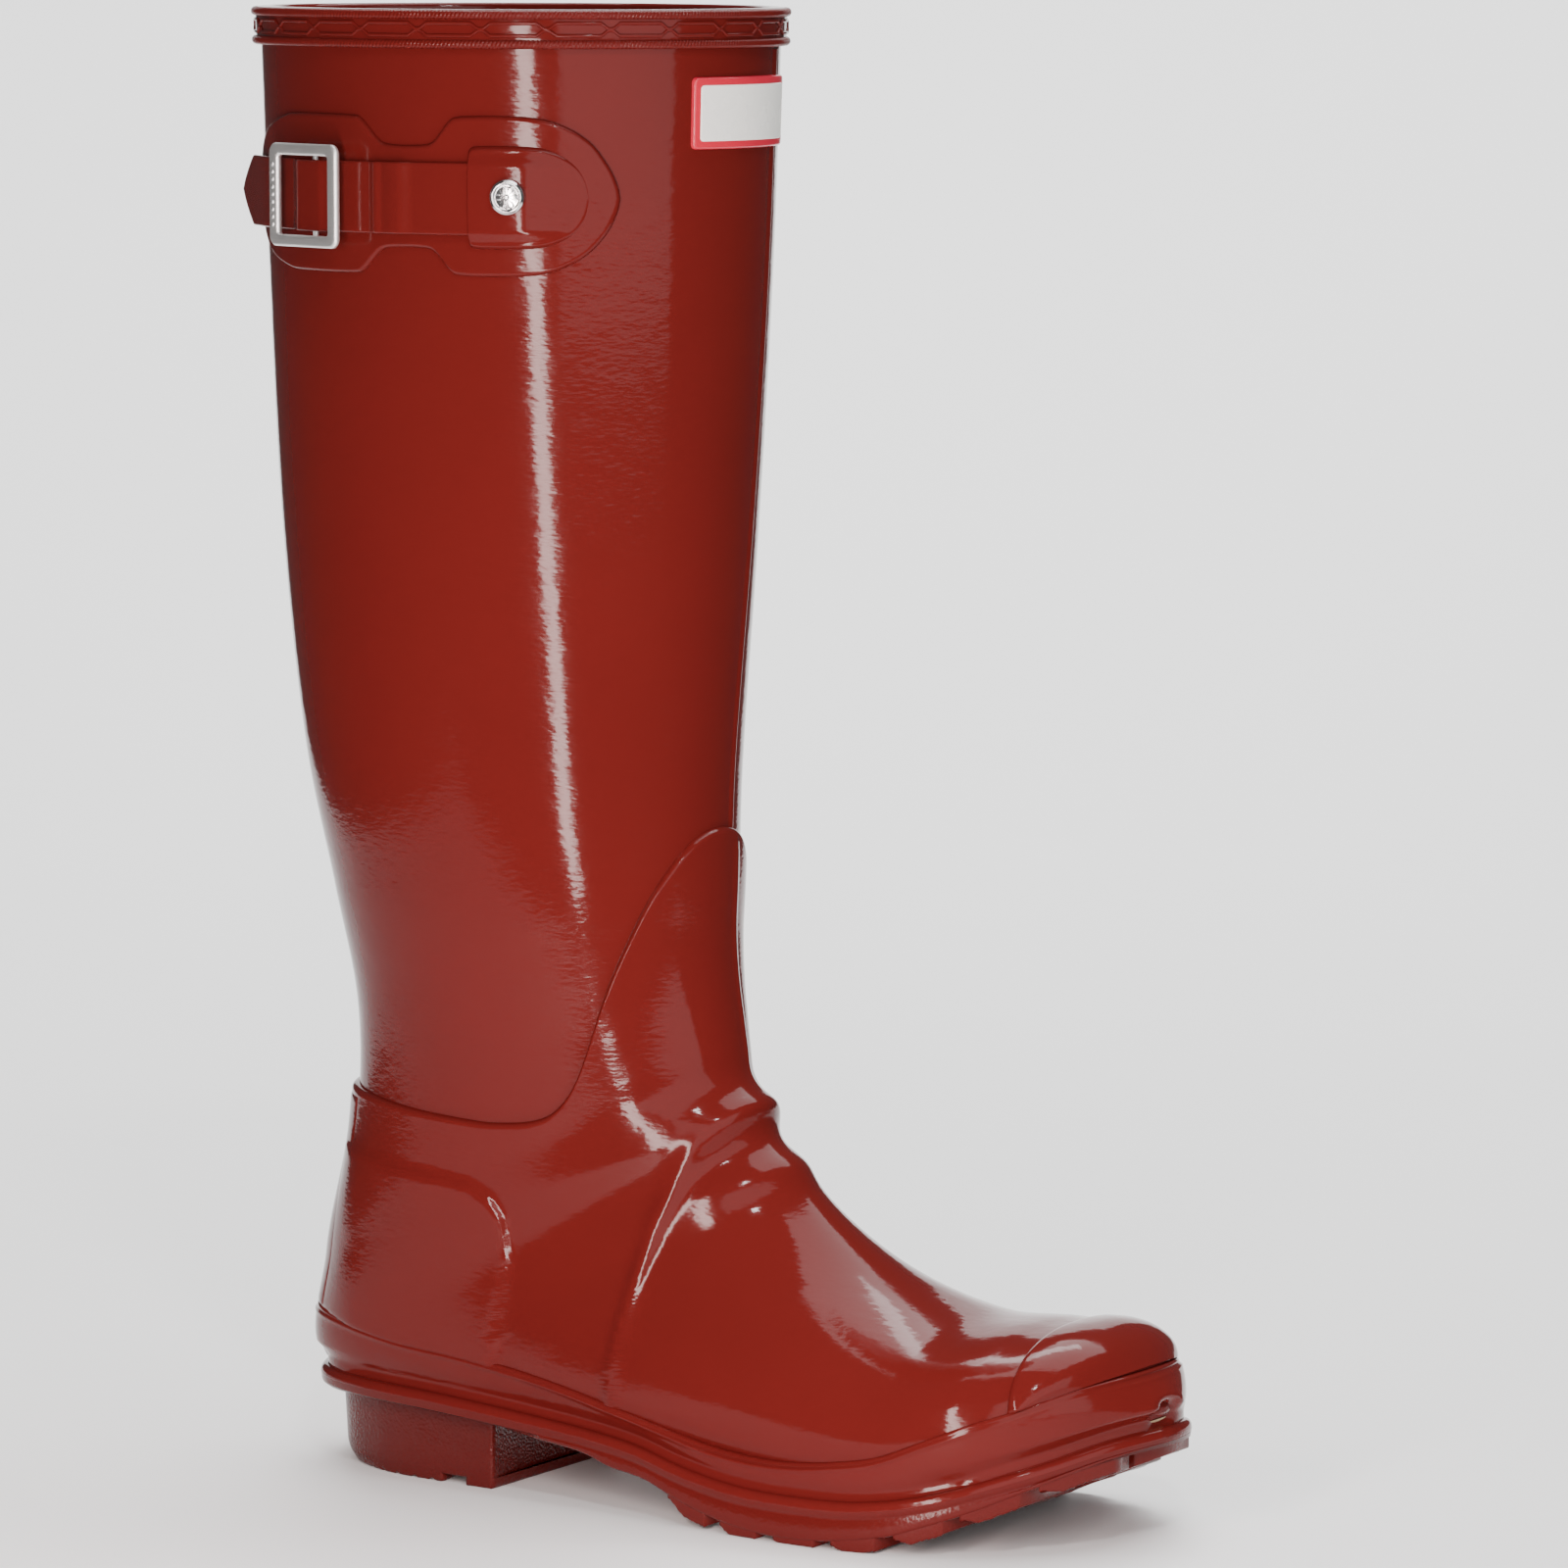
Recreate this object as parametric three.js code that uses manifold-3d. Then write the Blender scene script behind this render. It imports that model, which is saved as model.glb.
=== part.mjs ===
// Tall rubber rain boot for the right foot, with a side strap and buckle.
// Millimetres. +X to the toe, +Y to the inner side of the leg, +Z up, ground at z = 0.
import * as THREE from 'three';
import Module from 'manifold-3d';

// Overall sizes
const bootHeight = 400;
const columns = 28;

// Wall layers, as offsets from the outer face of the leg (outwards positive)
const gap = 0.3;
const legThick = 1.9;
const liningThick = 1;
const footThick = 1.6;
const trimThick = 1.2;
const insoleThick = 3.2;

const legOut = 0;
const legIn = legOut - legThick;
const liningOut = legIn - gap;
const liningIn = liningOut - liningThick;
const insoleOut = liningIn - gap;
const insoleIn = insoleOut - insoleThick;
const footIn = legOut + gap;
const footOut = footIn + footThick;
const trimIn = footOut + gap;
const trimOut = trimIn + trimThick;

// Top band
const bandHeight = 10.2;
const capThick = 1.7;
const capBead = 1.1;
const lowBead = 1.1;
const bandThick = 1.1;
const lowBeadHeight = 2.3;
const beadSlope = 0.65;
const rimRound = 0.45;
const chainLinks = 26;
const chainHigh = 1.55;
const chainLow = 0.3;
const chainRib = 0.9;
const chainThick = 0.8;
const linkSlope = 0.24;

// Outer sizes of the strap set, label and seam
const strapDrop = 49.5;
const strapLevel = bootHeight - strapDrop;
const strapWidth = 19;
const strapThick = 1.5;
const patchThick = 1.5;
const patchHeight = 41;
const patchMargin = 3.5;
const coverThick = 1.2;
const buckleWidth = 29;
const buckleSideBar = 3.8;
const buckleEndBar = 3.2;
const windowPlay = 1.05;
const buckleHeight = strapWidth + 2 * (windowPlay + buckleEndBar);
const buckleThick = 2;
const buckleLift = 4.2;
const buckleTurn = 110;
const patchFrom = 34;
const patchTo = 150;
const coverFrom = 40;
const coverTo = 84;
const strapFrom = 52;
const strapTo = 134;
const riseHalf = 3;
const riseSlope = 5;
const barRadius = 0.75;
const cornerRadius = 2.4;
const windowRadius = 0.8;
const studTurn = 63;
const studRadius = 4.6;
const studHeight = 1.7;
const studCrown = 1;
const studSides = 24;
const postSides = 16;
const postRadius = 1.5;
const postClear = 0.35;
const washerRadius = 4.8;
const washerThick = 1.1;
const tailLength = 19;
const tailPoint = 10;
const tipRound = 1.2;
const tailGapTurn = 0.6;
const labelHeight = 19;
const labelDrop = 27.3;
const labelMargin = 2.1;
const labelTurn = 20.6;
const labelThick = 0.9;
const faceThick = 0.5;
const seamHalf = 1.9;
const seamThick = 0.8;
const seamTurn = -11;
const seamBottom = 190;
const seamDrop = 7.2;

// Sole and heel
const trayLift = 19.5;
const heelInset = 6;
const heelFront = -36;
const lugDepth = 3.6;
const lugStarts = [27, 44, 62, 80, 97, 113, 129];
const lugLength = 14;
const lugLean = 1;
const lugInset = 0.8;
const lugsFrom = 6;
const lugsFull = 20;
const sinkInto = 0.6;
const grooveWidth = 3.4;
const heelGrooves = [-92, -76, -60];
const heelGrooveDepth = 3;
const heelGrooveStagger = 6;
const heelGrooveRib = 12;
const treadMiddle = 2;
const breastLean = 2;
const coreLength = 42;
const coreWidth = 34;
const coreDepth = 9;
const coreMiddle = -71;
const shankLength = 100;
const shankWidth = 14;
const shankMiddle = -10;

// Limits that lie outside every piece, for the cutting shapes
const farSide = 90;
const farEnd = 200;
const farBelow = -10;

// Sections of the form. Each row holds the front point (x, z), the back point (x, z), the outer and
// inner half widths, the height share of the widest line, the squareness of the front and back
// halves, and the sideways shift.
const topZ = bootHeight - capThick - gap;
const sections = [
  [26, topZ, -124.5, topZ, 59, 59, 0.5, 2, 2, 0],
  [23.5, 330, -122.5, 330, 57, 57, 0.5, 2, 2, 0],
  [19.5, 260, -119.5, 260, 53.5, 53.5, 0.5, 2, 2, 0],
  [15.5, 200, -113.5, 200, 48.5, 48.5, 0.5, 2, 2, 0],
  [15, 168, -105, 160, 44, 44, 0.5, 2, 2, 0],
  [14.8, 150, -97.5, 126, 40, 40, 0.5, 2, 2.1, 0],
  [17, 132, -98.5, 92, 37, 37, 0.48, 2, 2.2, 0],
  [21.6, 112.7, -106, 55, 35.5, 35.5, 0.45, 2, 2.4, 0],
  [34, 93, -103, 25, 35.5, 36, 0.38, 2, 3, 1],
  [50, 76, -50, 24, 38, 37, 0.35, 2, 3.2, 2],
  [70, 62, 25, 17.5, 44, 41, 0.33, 2, 3.4, 4],
  [92, 54, 80, 11.5, 46.5, 44, 0.34, 2.1, 3.4, 7],
  [114, 53.5, 110, 14.5, 43, 42, 0.38, 2.3, 3, 9],
  [134, 51, 132, 21.5, 29, 29, 0.45, 2.4, 2.4, 10],
  [149, 36, 149, 34, 3, 3, 0.5, 2, 2, 10],
];
const lastSection = sections.length - 1;
const rows = [0, 1, 2, 3, 4, 4.5, 5, 5.5, 6, 6.5, 7, 7.5, 8, 9, 10, 10.5, 11, 11.5, 12, 12.5, 13, 13.4,
  13.7, 13.88];

// Side profiles, each a list of [x, z]
const footTopLine = [[-130, 108], [-79, 104.7], [-56, 102.6], [-36, 101.3], [-25, 102], [-18, 104],
  [-13.5, 108.5], [-9.5, 115.5], [-3.3, 137.3], [2.7, 153], [7.5, 165.5], [11, 173], [13.7, 180],
  [16, 184.5], [40, 184.5]];
const overlap = 16;
const foxingLine = [[-120, 43.5], [-94, 43], [-65, 39], [-44, 37.3], [-33, 36], [-9, 32.3], [4.5, 29.5],
  [21, 26], [40, 21.8], [58, 20.6], [79, 22.6], [91, 25], [104, 30.4], [116, 35.5], [123, 38], [135, 43.5],
  [160, 48.5]];
const weltLine = [[-125, 26.5], [-80, 26.5], [-50, 25.5], [-20, 23.2], [0, 21.5], [15, 19.5], [30, 16],
  [47, 13.4], [70, 12.6], [90, 13.4], [105, 16], [120, 20.5], [133, 25], [143, 29], [160, 32.5]];
const floorLine = [[-125, 29], [-50, 29], [0, 25.2], [25, 22.5], [80, 16.5], [110, 19.5], [132, 27],
  [160, 38]];
const soleLine = [[-125, trayLift], [heelFront, trayLift], [-20, 17], [0, 14.6], [10, 11.2], [20, 7],
  [32, 2.8], [43, 0], [90, 0], [97, 1.4], [105, 4], [118, 9], [130, 14.5], [143, 20.5], [160, 25]];
const counterEdge = -33;
const puffEdge = 118.5;
const insoleEnd = 128;
const insoleRise = 2.5;
const toeSeam = 121;
const backStripLow = -94;
const backStripHigh = -88.5;
const backStripTop = 104.5;

// Plan outline of the sole, [x, y] going round from the heel by the outer side
const soleOutline = [[-108.8, 0], [-106.5, -15], [-98, -27.5], [-80, -36], [-50, -39.5], [-20, -40],
  [10, -42], [40, -45.5], [60, -47], [78, -47], [92, -45], [106, -40.5], [120, -33], [131, -24],
  [141, -12], [148, 0], [152, 12], [149.5, 24], [142, 34.5], [130, 43], [115, 48.5], [95, 50.5],
  [75, 49.5], [50, 45], [20, 41], [-10, 39], [-50, 39.5], [-80, 36.5], [-98, 28], [-106.5, 15]];

// Colours
const redRubber = { color: 0x9c1f1c, roughness: 0.22, metalness: 0 };
const darkRubber = { color: 0x7d1815, roughness: 0.35, metalness: 0 };
const clothGrey = { color: 0x5b5550, roughness: 0.95, metalness: 0 };
const boardTan = { color: 0x9a7b52, roughness: 0.85, metalness: 0 };
const satinMetal = { color: 0xb9b9b6, roughness: 0.35, metalness: 1 };
const labelWhite = { color: 0xf2f1ea, roughness: 0.4, metalness: 0 };
const labelRed = { color: 0xc11f33, roughness: 0.35, metalness: 0 };

const wasm = await Module();
wasm.setup();
const group = new THREE.Group();
group.name = 'rain_boot';

// Smooth curve through unevenly spaced keys
function slopeAt(keys, values, index) {
  const last = keys.length - 1;
  if (index === 0) return (values[1] - values[0]) / (keys[1] - keys[0]);
  if (index === last) return (values[last] - values[last - 1]) / (keys[last] - keys[last - 1]);
  const before = keys[index] - keys[index - 1];
  const after = keys[index + 1] - keys[index];
  const slopeBefore = (values[index] - values[index - 1]) / before;
  const slopeAfter = (values[index + 1] - values[index]) / after;
  return (slopeBefore * after + slopeAfter * before) / (before + after);
}

function curve(keys, values, at) {
  let index = 0;
  while (index < keys.length - 2 && at >= keys[index + 1]) index += 1;
  const step = keys[index + 1] - keys[index];
  const t = (at - keys[index]) / step;
  const startSlope = slopeAt(keys, values, index) * step;
  const endSlope = slopeAt(keys, values, index + 1) * step;
  const t2 = t * t;
  const t3 = t2 * t;
  return (2 * t3 - 3 * t2 + 1) * values[index] + (t3 - 2 * t2 + t) * startSlope
    + (3 * t2 - 2 * t3) * values[index + 1] + (t3 - t2) * endSlope;
}

const sectionKeys = sections.map((row, index) => index);
const sectionColumns = sections[0].map((value, column) => sections.map((row) => row[column]));

// A point on the outer face of the leg and foot. Turn 0 faces forward, a quarter turn faces outwards.
function formPoint(station, turn) {
  const [frontX, frontZ, backX, backZ, outerHalf, innerHalf, widest, frontSquare, backSquare, shift] =
    sectionColumns.map((column) => curve(sectionKeys, column, station));
  const cosine = Math.cos(turn);
  const sine = Math.sin(turn);
  const square = cosine >= 0 ? frontSquare : backSquare;
  const along = Math.abs(cosine) ** (2 / square);
  const across = Math.abs(sine) ** (2 / square);
  const share = cosine >= 0 ? widest + (1 - widest) * along : widest * (1 - along);
  const half = sine >= 0 ? outerHalf : innerHalf;
  return new THREE.Vector3(backX + (frontX - backX) * share, shift - Math.sign(sine) * half * across,
    backZ + (frontZ - backZ) * share);
}

function formNormal(station, turn) {
  const step = 0.02;
  const low = Math.max(station - step, 0);
  const high = Math.min(station + step, lastSection - 0.02);
  const down = formPoint(high, turn).sub(formPoint(low, turn));
  const round = formPoint(station, turn + step).sub(formPoint(station, turn - step));
  return round.cross(down).normalize();
}

function wallPoint(station, turn, offset) {
  return formPoint(station, turn).addScaledVector(formNormal(station, turn), offset);
}

const radians = (degrees) => degrees * Math.PI / 180;
const ringTurns = Array.from({ length: columns }, (value, index) => index * 2 * Math.PI / columns);

// The station on the straight part of the leg that lies at a height
function stationAt(height) {
  let low = 0;
  let high = 4;
  for (let pass = 0; pass < 40; pass += 1) {
    const middle = (low + high) / 2;
    if (formPoint(middle, Math.PI / 2).z > height) low = middle;
    else high = middle;
  }
  return (low + high) / 2;
}

function legPoint(height, turn, offset) {
  const station = stationAt(height);
  const normal = formNormal(station, turn);
  normal.z = 0;
  return formPoint(station, turn).addScaledVector(normal.normalize(), offset);
}

function addQuad(triangles, a, b, c, d) {
  triangles.push([a, b, c], [a, c, d]);
}

// Solid from a list of corner points and triangles
function solidFrom(points, triangles) {
  let volume = 0;
  for (const [a, b, c] of triangles) {
    volume += points[a].dot(points[b].clone().cross(points[c]));
  }
  const faces = volume < 0 ? triangles.map(([a, b, c]) => [a, c, b]) : triangles;
  const vertProperties = new Float32Array(points.flatMap((point) => [point.x, point.y, point.z]));
  const triVerts = new Uint32Array(faces.flat());
  return new wasm.Manifold(new wasm.Mesh({ numProp: 3, vertProperties, triVerts }));
}

// Wall between two offsets of the form, open at the top and closed round the toe
function sockWall(innerOffset, outerOffset) {
  const points = [];
  const triangles = [];
  for (const offset of [innerOffset, outerOffset]) {
    for (const row of rows) {
      for (const turn of ringTurns) points.push(wallPoint(row, turn, offset));
    }
    points.push(wallPoint(lastSection - 0.01, 0, offset).setY(sections[lastSection][9]));
  }
  const layer = rows.length * columns + 1;
  for (const start of [0, layer]) {
    const add = (a, b, c) => triangles.push(start > 0 ? [a, b, c] : [a, c, b]);
    for (let row = 0; row < rows.length - 1; row += 1) {
      for (let column = 0; column < columns; column += 1) {
        const a = start + row * columns + column;
        const b = start + row * columns + (column + 1) % columns;
        add(a, b, b + columns);
        add(a, b + columns, a + columns);
      }
    }
    const tip = start + layer - 1;
    for (let column = 0; column < columns; column += 1) {
      const base = start + (rows.length - 1) * columns;
      add(base + column, base + (column + 1) % columns, tip);
    }
  }
  for (let column = 0; column < columns; column += 1) {
    const next = (column + 1) % columns;
    addQuad(triangles, column, next, layer + next, layer + column);
  }
  return solidFrom(points, triangles);
}

// The same form filled solid, with a flat lid at its top
function sockSolid(offset) {
  const points = [];
  const triangles = [];
  for (const row of rows) {
    for (const turn of ringTurns) points.push(wallPoint(row, turn, offset));
  }
  const tip = points.push(wallPoint(lastSection - 0.01, 0, offset).setY(sections[lastSection][9])) - 1;
  const lid = points.push(formPoint(0, 0).add(formPoint(0, Math.PI)).divideScalar(2)) - 1;
  for (let column = 0; column < columns; column += 1) {
    const next = (column + 1) % columns;
    for (let row = 0; row < rows.length - 1; row += 1) {
      const a = row * columns + column;
      const b = row * columns + next;
      addQuad(triangles, a, b, b + columns, a + columns);
    }
    const base = (rows.length - 1) * columns;
    triangles.push([base + column, base + next, tip], [next, column, lid]);
  }
  return solidFrom(points, triangles);
}

// Prism over a closed outline given as [a, b] pairs; place() turns (a, b, side) into a point
function prism(outline, place) {
  const corners = outline.map(([a, b]) => new THREE.Vector2(a, b));
  if (THREE.ShapeUtils.area(corners) < 0) corners.reverse();
  const caps = THREE.ShapeUtils.triangulateShape(corners, []);
  const count = corners.length;
  const points = [];
  for (const side of [0, 1]) {
    for (const corner of corners) points.push(place(corner.x, corner.y, side));
  }
  const triangles = [];
  for (const [a, b, c] of caps) triangles.push([a, c, b], [a + count, b + count, c + count]);
  for (let index = 0; index < count; index += 1) {
    const next = (index + 1) % count;
    addQuad(triangles, index, next, next + count, index + count);
  }
  return solidFrom(points, triangles);
}

// Side-on prism over an outline of [x, z], from one y to another
function sidePrism(outline, fromY = -farSide, toY = farSide) {
  return prism(outline, (x, z, side) => new THREE.Vector3(x, side ? fromY : toY, z));
}

// Everything between two side lines, and a box between limits along x, y and z
function between(lowLine, highLine) {
  return sidePrism([...lowLine, ...[...highLine].reverse()]);
}

const shiftLine = (line, rise) => line.map(([x, z]) => [x, z + rise]);
const levelLine = (z) => [[-farEnd, z], [farEnd, z]];
const boxBetween = (x0, x1, y0, y1, z0, z1) =>
  sidePrism([[x0, z0], [x1, z0], [x1, z1], [x0, z1]], y0, y1);
const lengthwise = (x0, x1) => boxBetween(x0, x1, -farSide, farSide, farBelow, bootHeight);
const groundLine = levelLine(farBelow);
const skyLine = levelLine(bootHeight + farSide);

// Solid swept through loops of equal length; closed when the last loop meets the first, and else capped
// with two triangles at each end
function sweep(loops, closed) {
  const size = loops[0].length;
  const triangles = [];
  const spans = closed ? loops.length : loops.length - 1;
  for (let index = 0; index < spans; index += 1) {
    const here = index * size;
    const there = ((index + 1) % loops.length) * size;
    for (let corner = 0; corner < size; corner += 1) {
      const next = (corner + 1) % size;
      addQuad(triangles, here + corner, here + next, there + next, there + corner);
    }
  }
  if (!closed) {
    const end = (loops.length - 1) * size;
    addQuad(triangles, 3, 2, 1, 0);
    addQuad(triangles, end, end + 1, end + 2, end + 3);
  }
  return solidFrom(loops.flat(), triangles);
}

// Band that follows the leg: turns in degrees, heights and offsets may vary along it
function legBand(turns, lowAt, highAt, innerAt, outerAt, closed = false) {
  const loops = turns.map((degrees) => {
    const corners = [[lowAt, innerAt], [highAt, innerAt], [highAt, outerAt], [lowAt, outerAt]];
    return corners.map(([height, offset]) => legPoint(height(degrees), radians(degrees), offset(degrees)));
  });
  return sweep(loops, closed);
}

const spread = (from, to, steps) =>
  Array.from({ length: steps + 1 }, (value, index) => from + (to - from) * index / steps);
const same = (value) => () => value;

// Adds one named piece
function addPiece(name, solid, look) {
  const mesh = solid.getMesh();
  const geometry = new THREE.BufferGeometry();
  const count = mesh.numProp;
  const positions = new Float32Array(mesh.triVerts.length * 3);
  mesh.triVerts.forEach((vertex, index) => {
    for (let axis = 0; axis < 3; axis += 1) {
      positions[index * 3 + axis] = mesh.vertProperties[vertex * count + axis];
    }
  });
  geometry.setAttribute('position', new THREE.BufferAttribute(positions, 3));
  geometry.computeVertexNormals();
  const piece = new THREE.Mesh(geometry, new THREE.MeshStandardMaterial(look));
  piece.name = name;
  group.add(piece);
}

// Stud hole through everything it clamps
const studFoot = legPoint(strapLevel, radians(studTurn), 0);
const studOut = legPoint(strapLevel, radians(studTurn), 1).sub(studFoot).normalize();
const studSide = new THREE.Vector3(-studOut.y, studOut.x, 0);
const circle = (sides) => spread(0, 360, sides).slice(0, -1).map((degrees) =>
  [Math.cos(radians(degrees)), Math.sin(radians(degrees))]);
function studDisc(radius, from, to, sides, crown = 0) {
  return prism(circle(sides), (a, b, side) => studFoot.clone()
    .addScaledVector(studSide, a * (side ? radius - crown : radius))
    .add(new THREE.Vector3(0, 0, b * (side ? radius - crown : radius)))
    .addScaledVector(studOut, side ? to : from));
}
const studHole = studDisc(postRadius + postClear, -farSide / 4, farSide / 4, postSides);

// Lining, leg and inner stiffeners
const footTopLow = shiftLine(footTopLine, -overlap);
const liningBody = sockWall(liningIn, liningOut);
addPiece('lining', liningBody.subtract(studHole), clothGrey);

const structure = sockWall(legIn, legOut);
const legBody = structure.intersect(between(footTopLow, skyLine));
addPiece('leg_shaft', legBody.subtract(studHole), redRubber);

const underLeg = shiftLine(footTopLow, -gap);
const overFloor = shiftLine(floorLine, gap);
const lowerWall = structure.intersect(between(overFloor, underLeg));
addPiece('heel_counter', lowerWall.intersect(lengthwise(-farEnd, counterEdge)), darkRubber);
addPiece('vamp_reinforcement', lowerWall.intersect(lengthwise(counterEdge + gap, puffEdge)), darkRubber);
const toeWall = lowerWall.intersect(lengthwise(puffEdge + gap, farEnd));
addPiece('toe_puff', toeWall.subtract(sockSolid(liningOut + gap / 3)), darkRubber);

const shankBox = (clearance) => boxBetween(shankMiddle - shankLength / 2 - clearance,
  shankMiddle + shankLength / 2 + clearance, -shankWidth / 2 - clearance, shankWidth / 2 + clearance,
  farBelow, bootHeight / 2);
const boardRing = structure.intersect(between(groundLine, floorLine));
addPiece('insole_board', boardRing.subtract(shankBox(gap)), boardTan);
addPiece('shank', boardRing.intersect(shankBox(0)), satinMetal);

const insoleTop = shiftLine(floorLine, insoleRise);
const insoleWall = sockWall(insoleIn, insoleOut).intersect(lengthwise(-farEnd, insoleEnd));
addPiece('insole', insoleWall.intersect(between(groundLine, insoleTop)), clothGrey);

// Foot piece and its applied strips
addPiece('foot_upper', sockWall(footIn, footOut).intersect(between(groundLine, footTopLine)), redRubber);

const trimWall = sockWall(trimIn, trimOut);
const overWelt = shiftLine(weltLine, gap);
const overFoxing = shiftLine(foxingLine, gap);
const foxingBand = trimWall.intersect(between(overWelt, foxingLine));
addPiece('foxing_strip', foxingBand.intersect(lengthwise(backStripLow + gap, farEnd)), redRubber);
const aboveFoxing = trimWall.intersect(between(overFoxing, skyLine));
addPiece('toe_cap', aboveFoxing.intersect(lengthwise(toeSeam, farEnd)), redRubber);
const backStripShape = sidePrism([[-farEnd, 0], [backStripLow, 0], [backStripLow, 50],
  [backStripHigh, backStripTop], [-farEnd, backStripTop]]);
const backStrip = trimWall.intersect(between(overWelt, skyLine)).intersect(backStripShape);
addPiece('back_strip', backStrip, redRubber);

// Outsole tray with its welt, lugs and heel
const outlineCorners = soleOutline.map(([x, y]) => new THREE.Vector3(x, y, 0));
const outlineCurve = new THREE.CatmullRomCurve3(outlineCorners, true, 'centripetal');
const outlinePoints = outlineCurve.getPoints(columns * 2).slice(0, -1).map((point) => [point.x, point.y]);
function insetOutline(distance) {
  const count = outlinePoints.length;
  return outlinePoints.map(([x, y], index) => {
    const [x0, y0] = outlinePoints[(index + count - 1) % count];
    const [x1, y1] = outlinePoints[(index + 1) % count];
    const length = Math.hypot(x1 - x0, y1 - y0);
    return [x - (y1 - y0) / length * distance, y + (x1 - x0) / length * distance];
  });
}
function planPrism(outline, from, to) {
  return prism(outline, (x, y, side) => new THREE.Vector3(x, y, side ? to : from));
}
const footRoom = sockSolid(footOut + gap);
const lugShare = (x) => THREE.MathUtils.clamp((x - lugsFrom) / (lugsFull - lugsFrom), 0, 1);
const plateLine = soleLine.map(([x, z]) => [x, z + lugDepth * lugShare(x)]);
const tray = planPrism(outlinePoints, farBelow, farSide).intersect(between(plateLine, weltLine));
const lugZone = planPrism(insetOutline(lugInset), farBelow, farSide);
const lugTop = 24;
function lugPair(start) {
  const outline = [[start, farBelow], [start + lugLength, farBelow], [start + lugLength + lugLean, lugTop],
    [start - lugLean, lugTop]];
  const grooveLow = treadMiddle - grooveWidth / 2;
  return sidePrism(outline, -farSide, grooveLow).add(sidePrism(outline, grooveLow + grooveWidth, farSide));
}
const lugs = lugStarts.map(lugPair).reduce((joined, pair) => joined.add(pair));
const lugLayer = lugs.intersect(lugZone).intersect(between(soleLine, shiftLine(plateLine, sinkInto)));
addPiece('outsole', tray.add(lugLayer).subtract(footRoom), redRubber);

const heelTop = trayLift - gap;
const breastLow = heelFront - breastLean;
const breastHigh = breastLow - breastLean * 1.5;
let heelBody = planPrism(insetOutline(heelInset), 0, heelTop).intersect(sidePrism([[-farEnd, farBelow],
  [breastLow, farBelow], [breastLow, 0], [breastHigh, heelTop], [breastHigh, farSide], [-farEnd, farSide]]));
for (const start of heelGrooves) {
  const back = start - heelGrooveStagger;
  heelBody = heelBody
    .subtract(boxBetween(start, start + grooveWidth, -farSide, -heelGrooveRib, farBelow, heelGrooveDepth))
    .subtract(boxBetween(back, back + grooveWidth, heelGrooveRib, farSide, farBelow, heelGrooveDepth));
}
heelBody = heelBody.subtract(boxBetween(heelGrooves[0] - grooveWidth, farEnd, -grooveWidth / 2,
  grooveWidth / 2, farBelow, heelGrooveDepth * 0.8));
const coreBox = (clearance, top) => boxBetween(coreMiddle - coreLength / 2 - clearance,
  coreMiddle + coreLength / 2 + clearance, -coreWidth / 2 - clearance, coreWidth / 2 + clearance,
  heelTop - coreDepth - clearance, top);
addPiece('heel_block', heelBody.subtract(coreBox(gap, heelTop + 5)), redRubber);
addPiece('heel_core', coreBox(0, heelTop), darkRubber);

// Top band: a rolled cap over the edge, a flat band and a lower bead
const bandBottom = bootHeight - bandHeight;
const bandIn = legOut + gap;
const bandOut = bandIn + bandThick;
const capLow = bootHeight - capThick;
const flatLow = bandBottom + lowBeadHeight;
const flatHigh = capLow - beadSlope * 2;
const bandProfile = [[bandIn, bandBottom], [bandOut + lowBead, bandBottom],
  [bandOut + lowBead, flatLow - beadSlope], [bandOut, flatLow], [bandOut, flatHigh],
  [bandOut + capBead, flatHigh + beadSlope], [bandOut + capBead, bootHeight - rimRound],
  [bandOut + rimRound, bootHeight], [liningIn, bootHeight], [liningIn - gap, bootHeight - beadSlope * 2],
  [liningIn - gap, capLow], [bandIn, capLow]];
const bandLoops = spread(0, 2 * Math.PI, columns * 2).slice(0, -1).map((turn) =>
  bandProfile.map(([offset, z]) => legPoint(Math.min(z, topZ), turn, offset).setZ(z)));
addPiece('top_band', sweep(bandLoops, true), redRubber);

const chainMiddle = (flatLow + flatHigh) / 2;
const linkTurn = 360 / chainLinks;
const linkTurns = spread(0, 360, chainLinks).slice(0, -1)
  .flatMap((start) => [0, linkSlope, 1 - linkSlope].map((share) => start + share * linkTurn));
const chainWave = (degrees) => ((degrees / linkTurn) % 1 < linkSlope / 2 ? chainLow : chainHigh);
const chainIn = bandOut + gap;
const chainReach = (degrees) => chainWave(degrees) + chainRib / 2;
const chain = legBand(linkTurns, (degrees) => chainMiddle - chainReach(degrees),
  (degrees) => chainMiddle + chainReach(degrees), same(chainIn), same(chainIn + chainThick), true);
addPiece('rim_chain', chain, redRubber);

// Front seam ridge and label
const labelLevel = bootHeight - labelDrop;
const labelTop = labelLevel + labelHeight / 2;
const labelBottom = labelLevel - labelHeight / 2;
const appliedIn = legOut + gap;
const seamCorners = [[-1, 0], [1, 0], [1, seamThick], [-1, seamThick]];
const seamLoops = spread(seamBottom, labelBottom - seamDrop, 14).map((height) => seamCorners.map(
  ([side, rise]) => legPoint(height, radians(seamTurn + side * seamHalf), appliedIn + rise)));
addPiece('front_seam', sweep(seamLoops, false), redRubber);

function labelPlate(halfTurn, margin, innerOffset, thick) {
  return legBand(spread(-halfTurn, halfTurn, 10), same(labelBottom + margin), same(labelTop - margin),
    same(innerOffset), same(innerOffset + thick));
}
addPiece('label_base', labelPlate(labelTurn, 0, appliedIn, labelThick), labelRed);
const faceIn = appliedIn + labelThick + gap;
addPiece('label_face', labelPlate(labelTurn - labelMargin, labelMargin, faceIn, faceThick), labelWhite);

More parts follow.
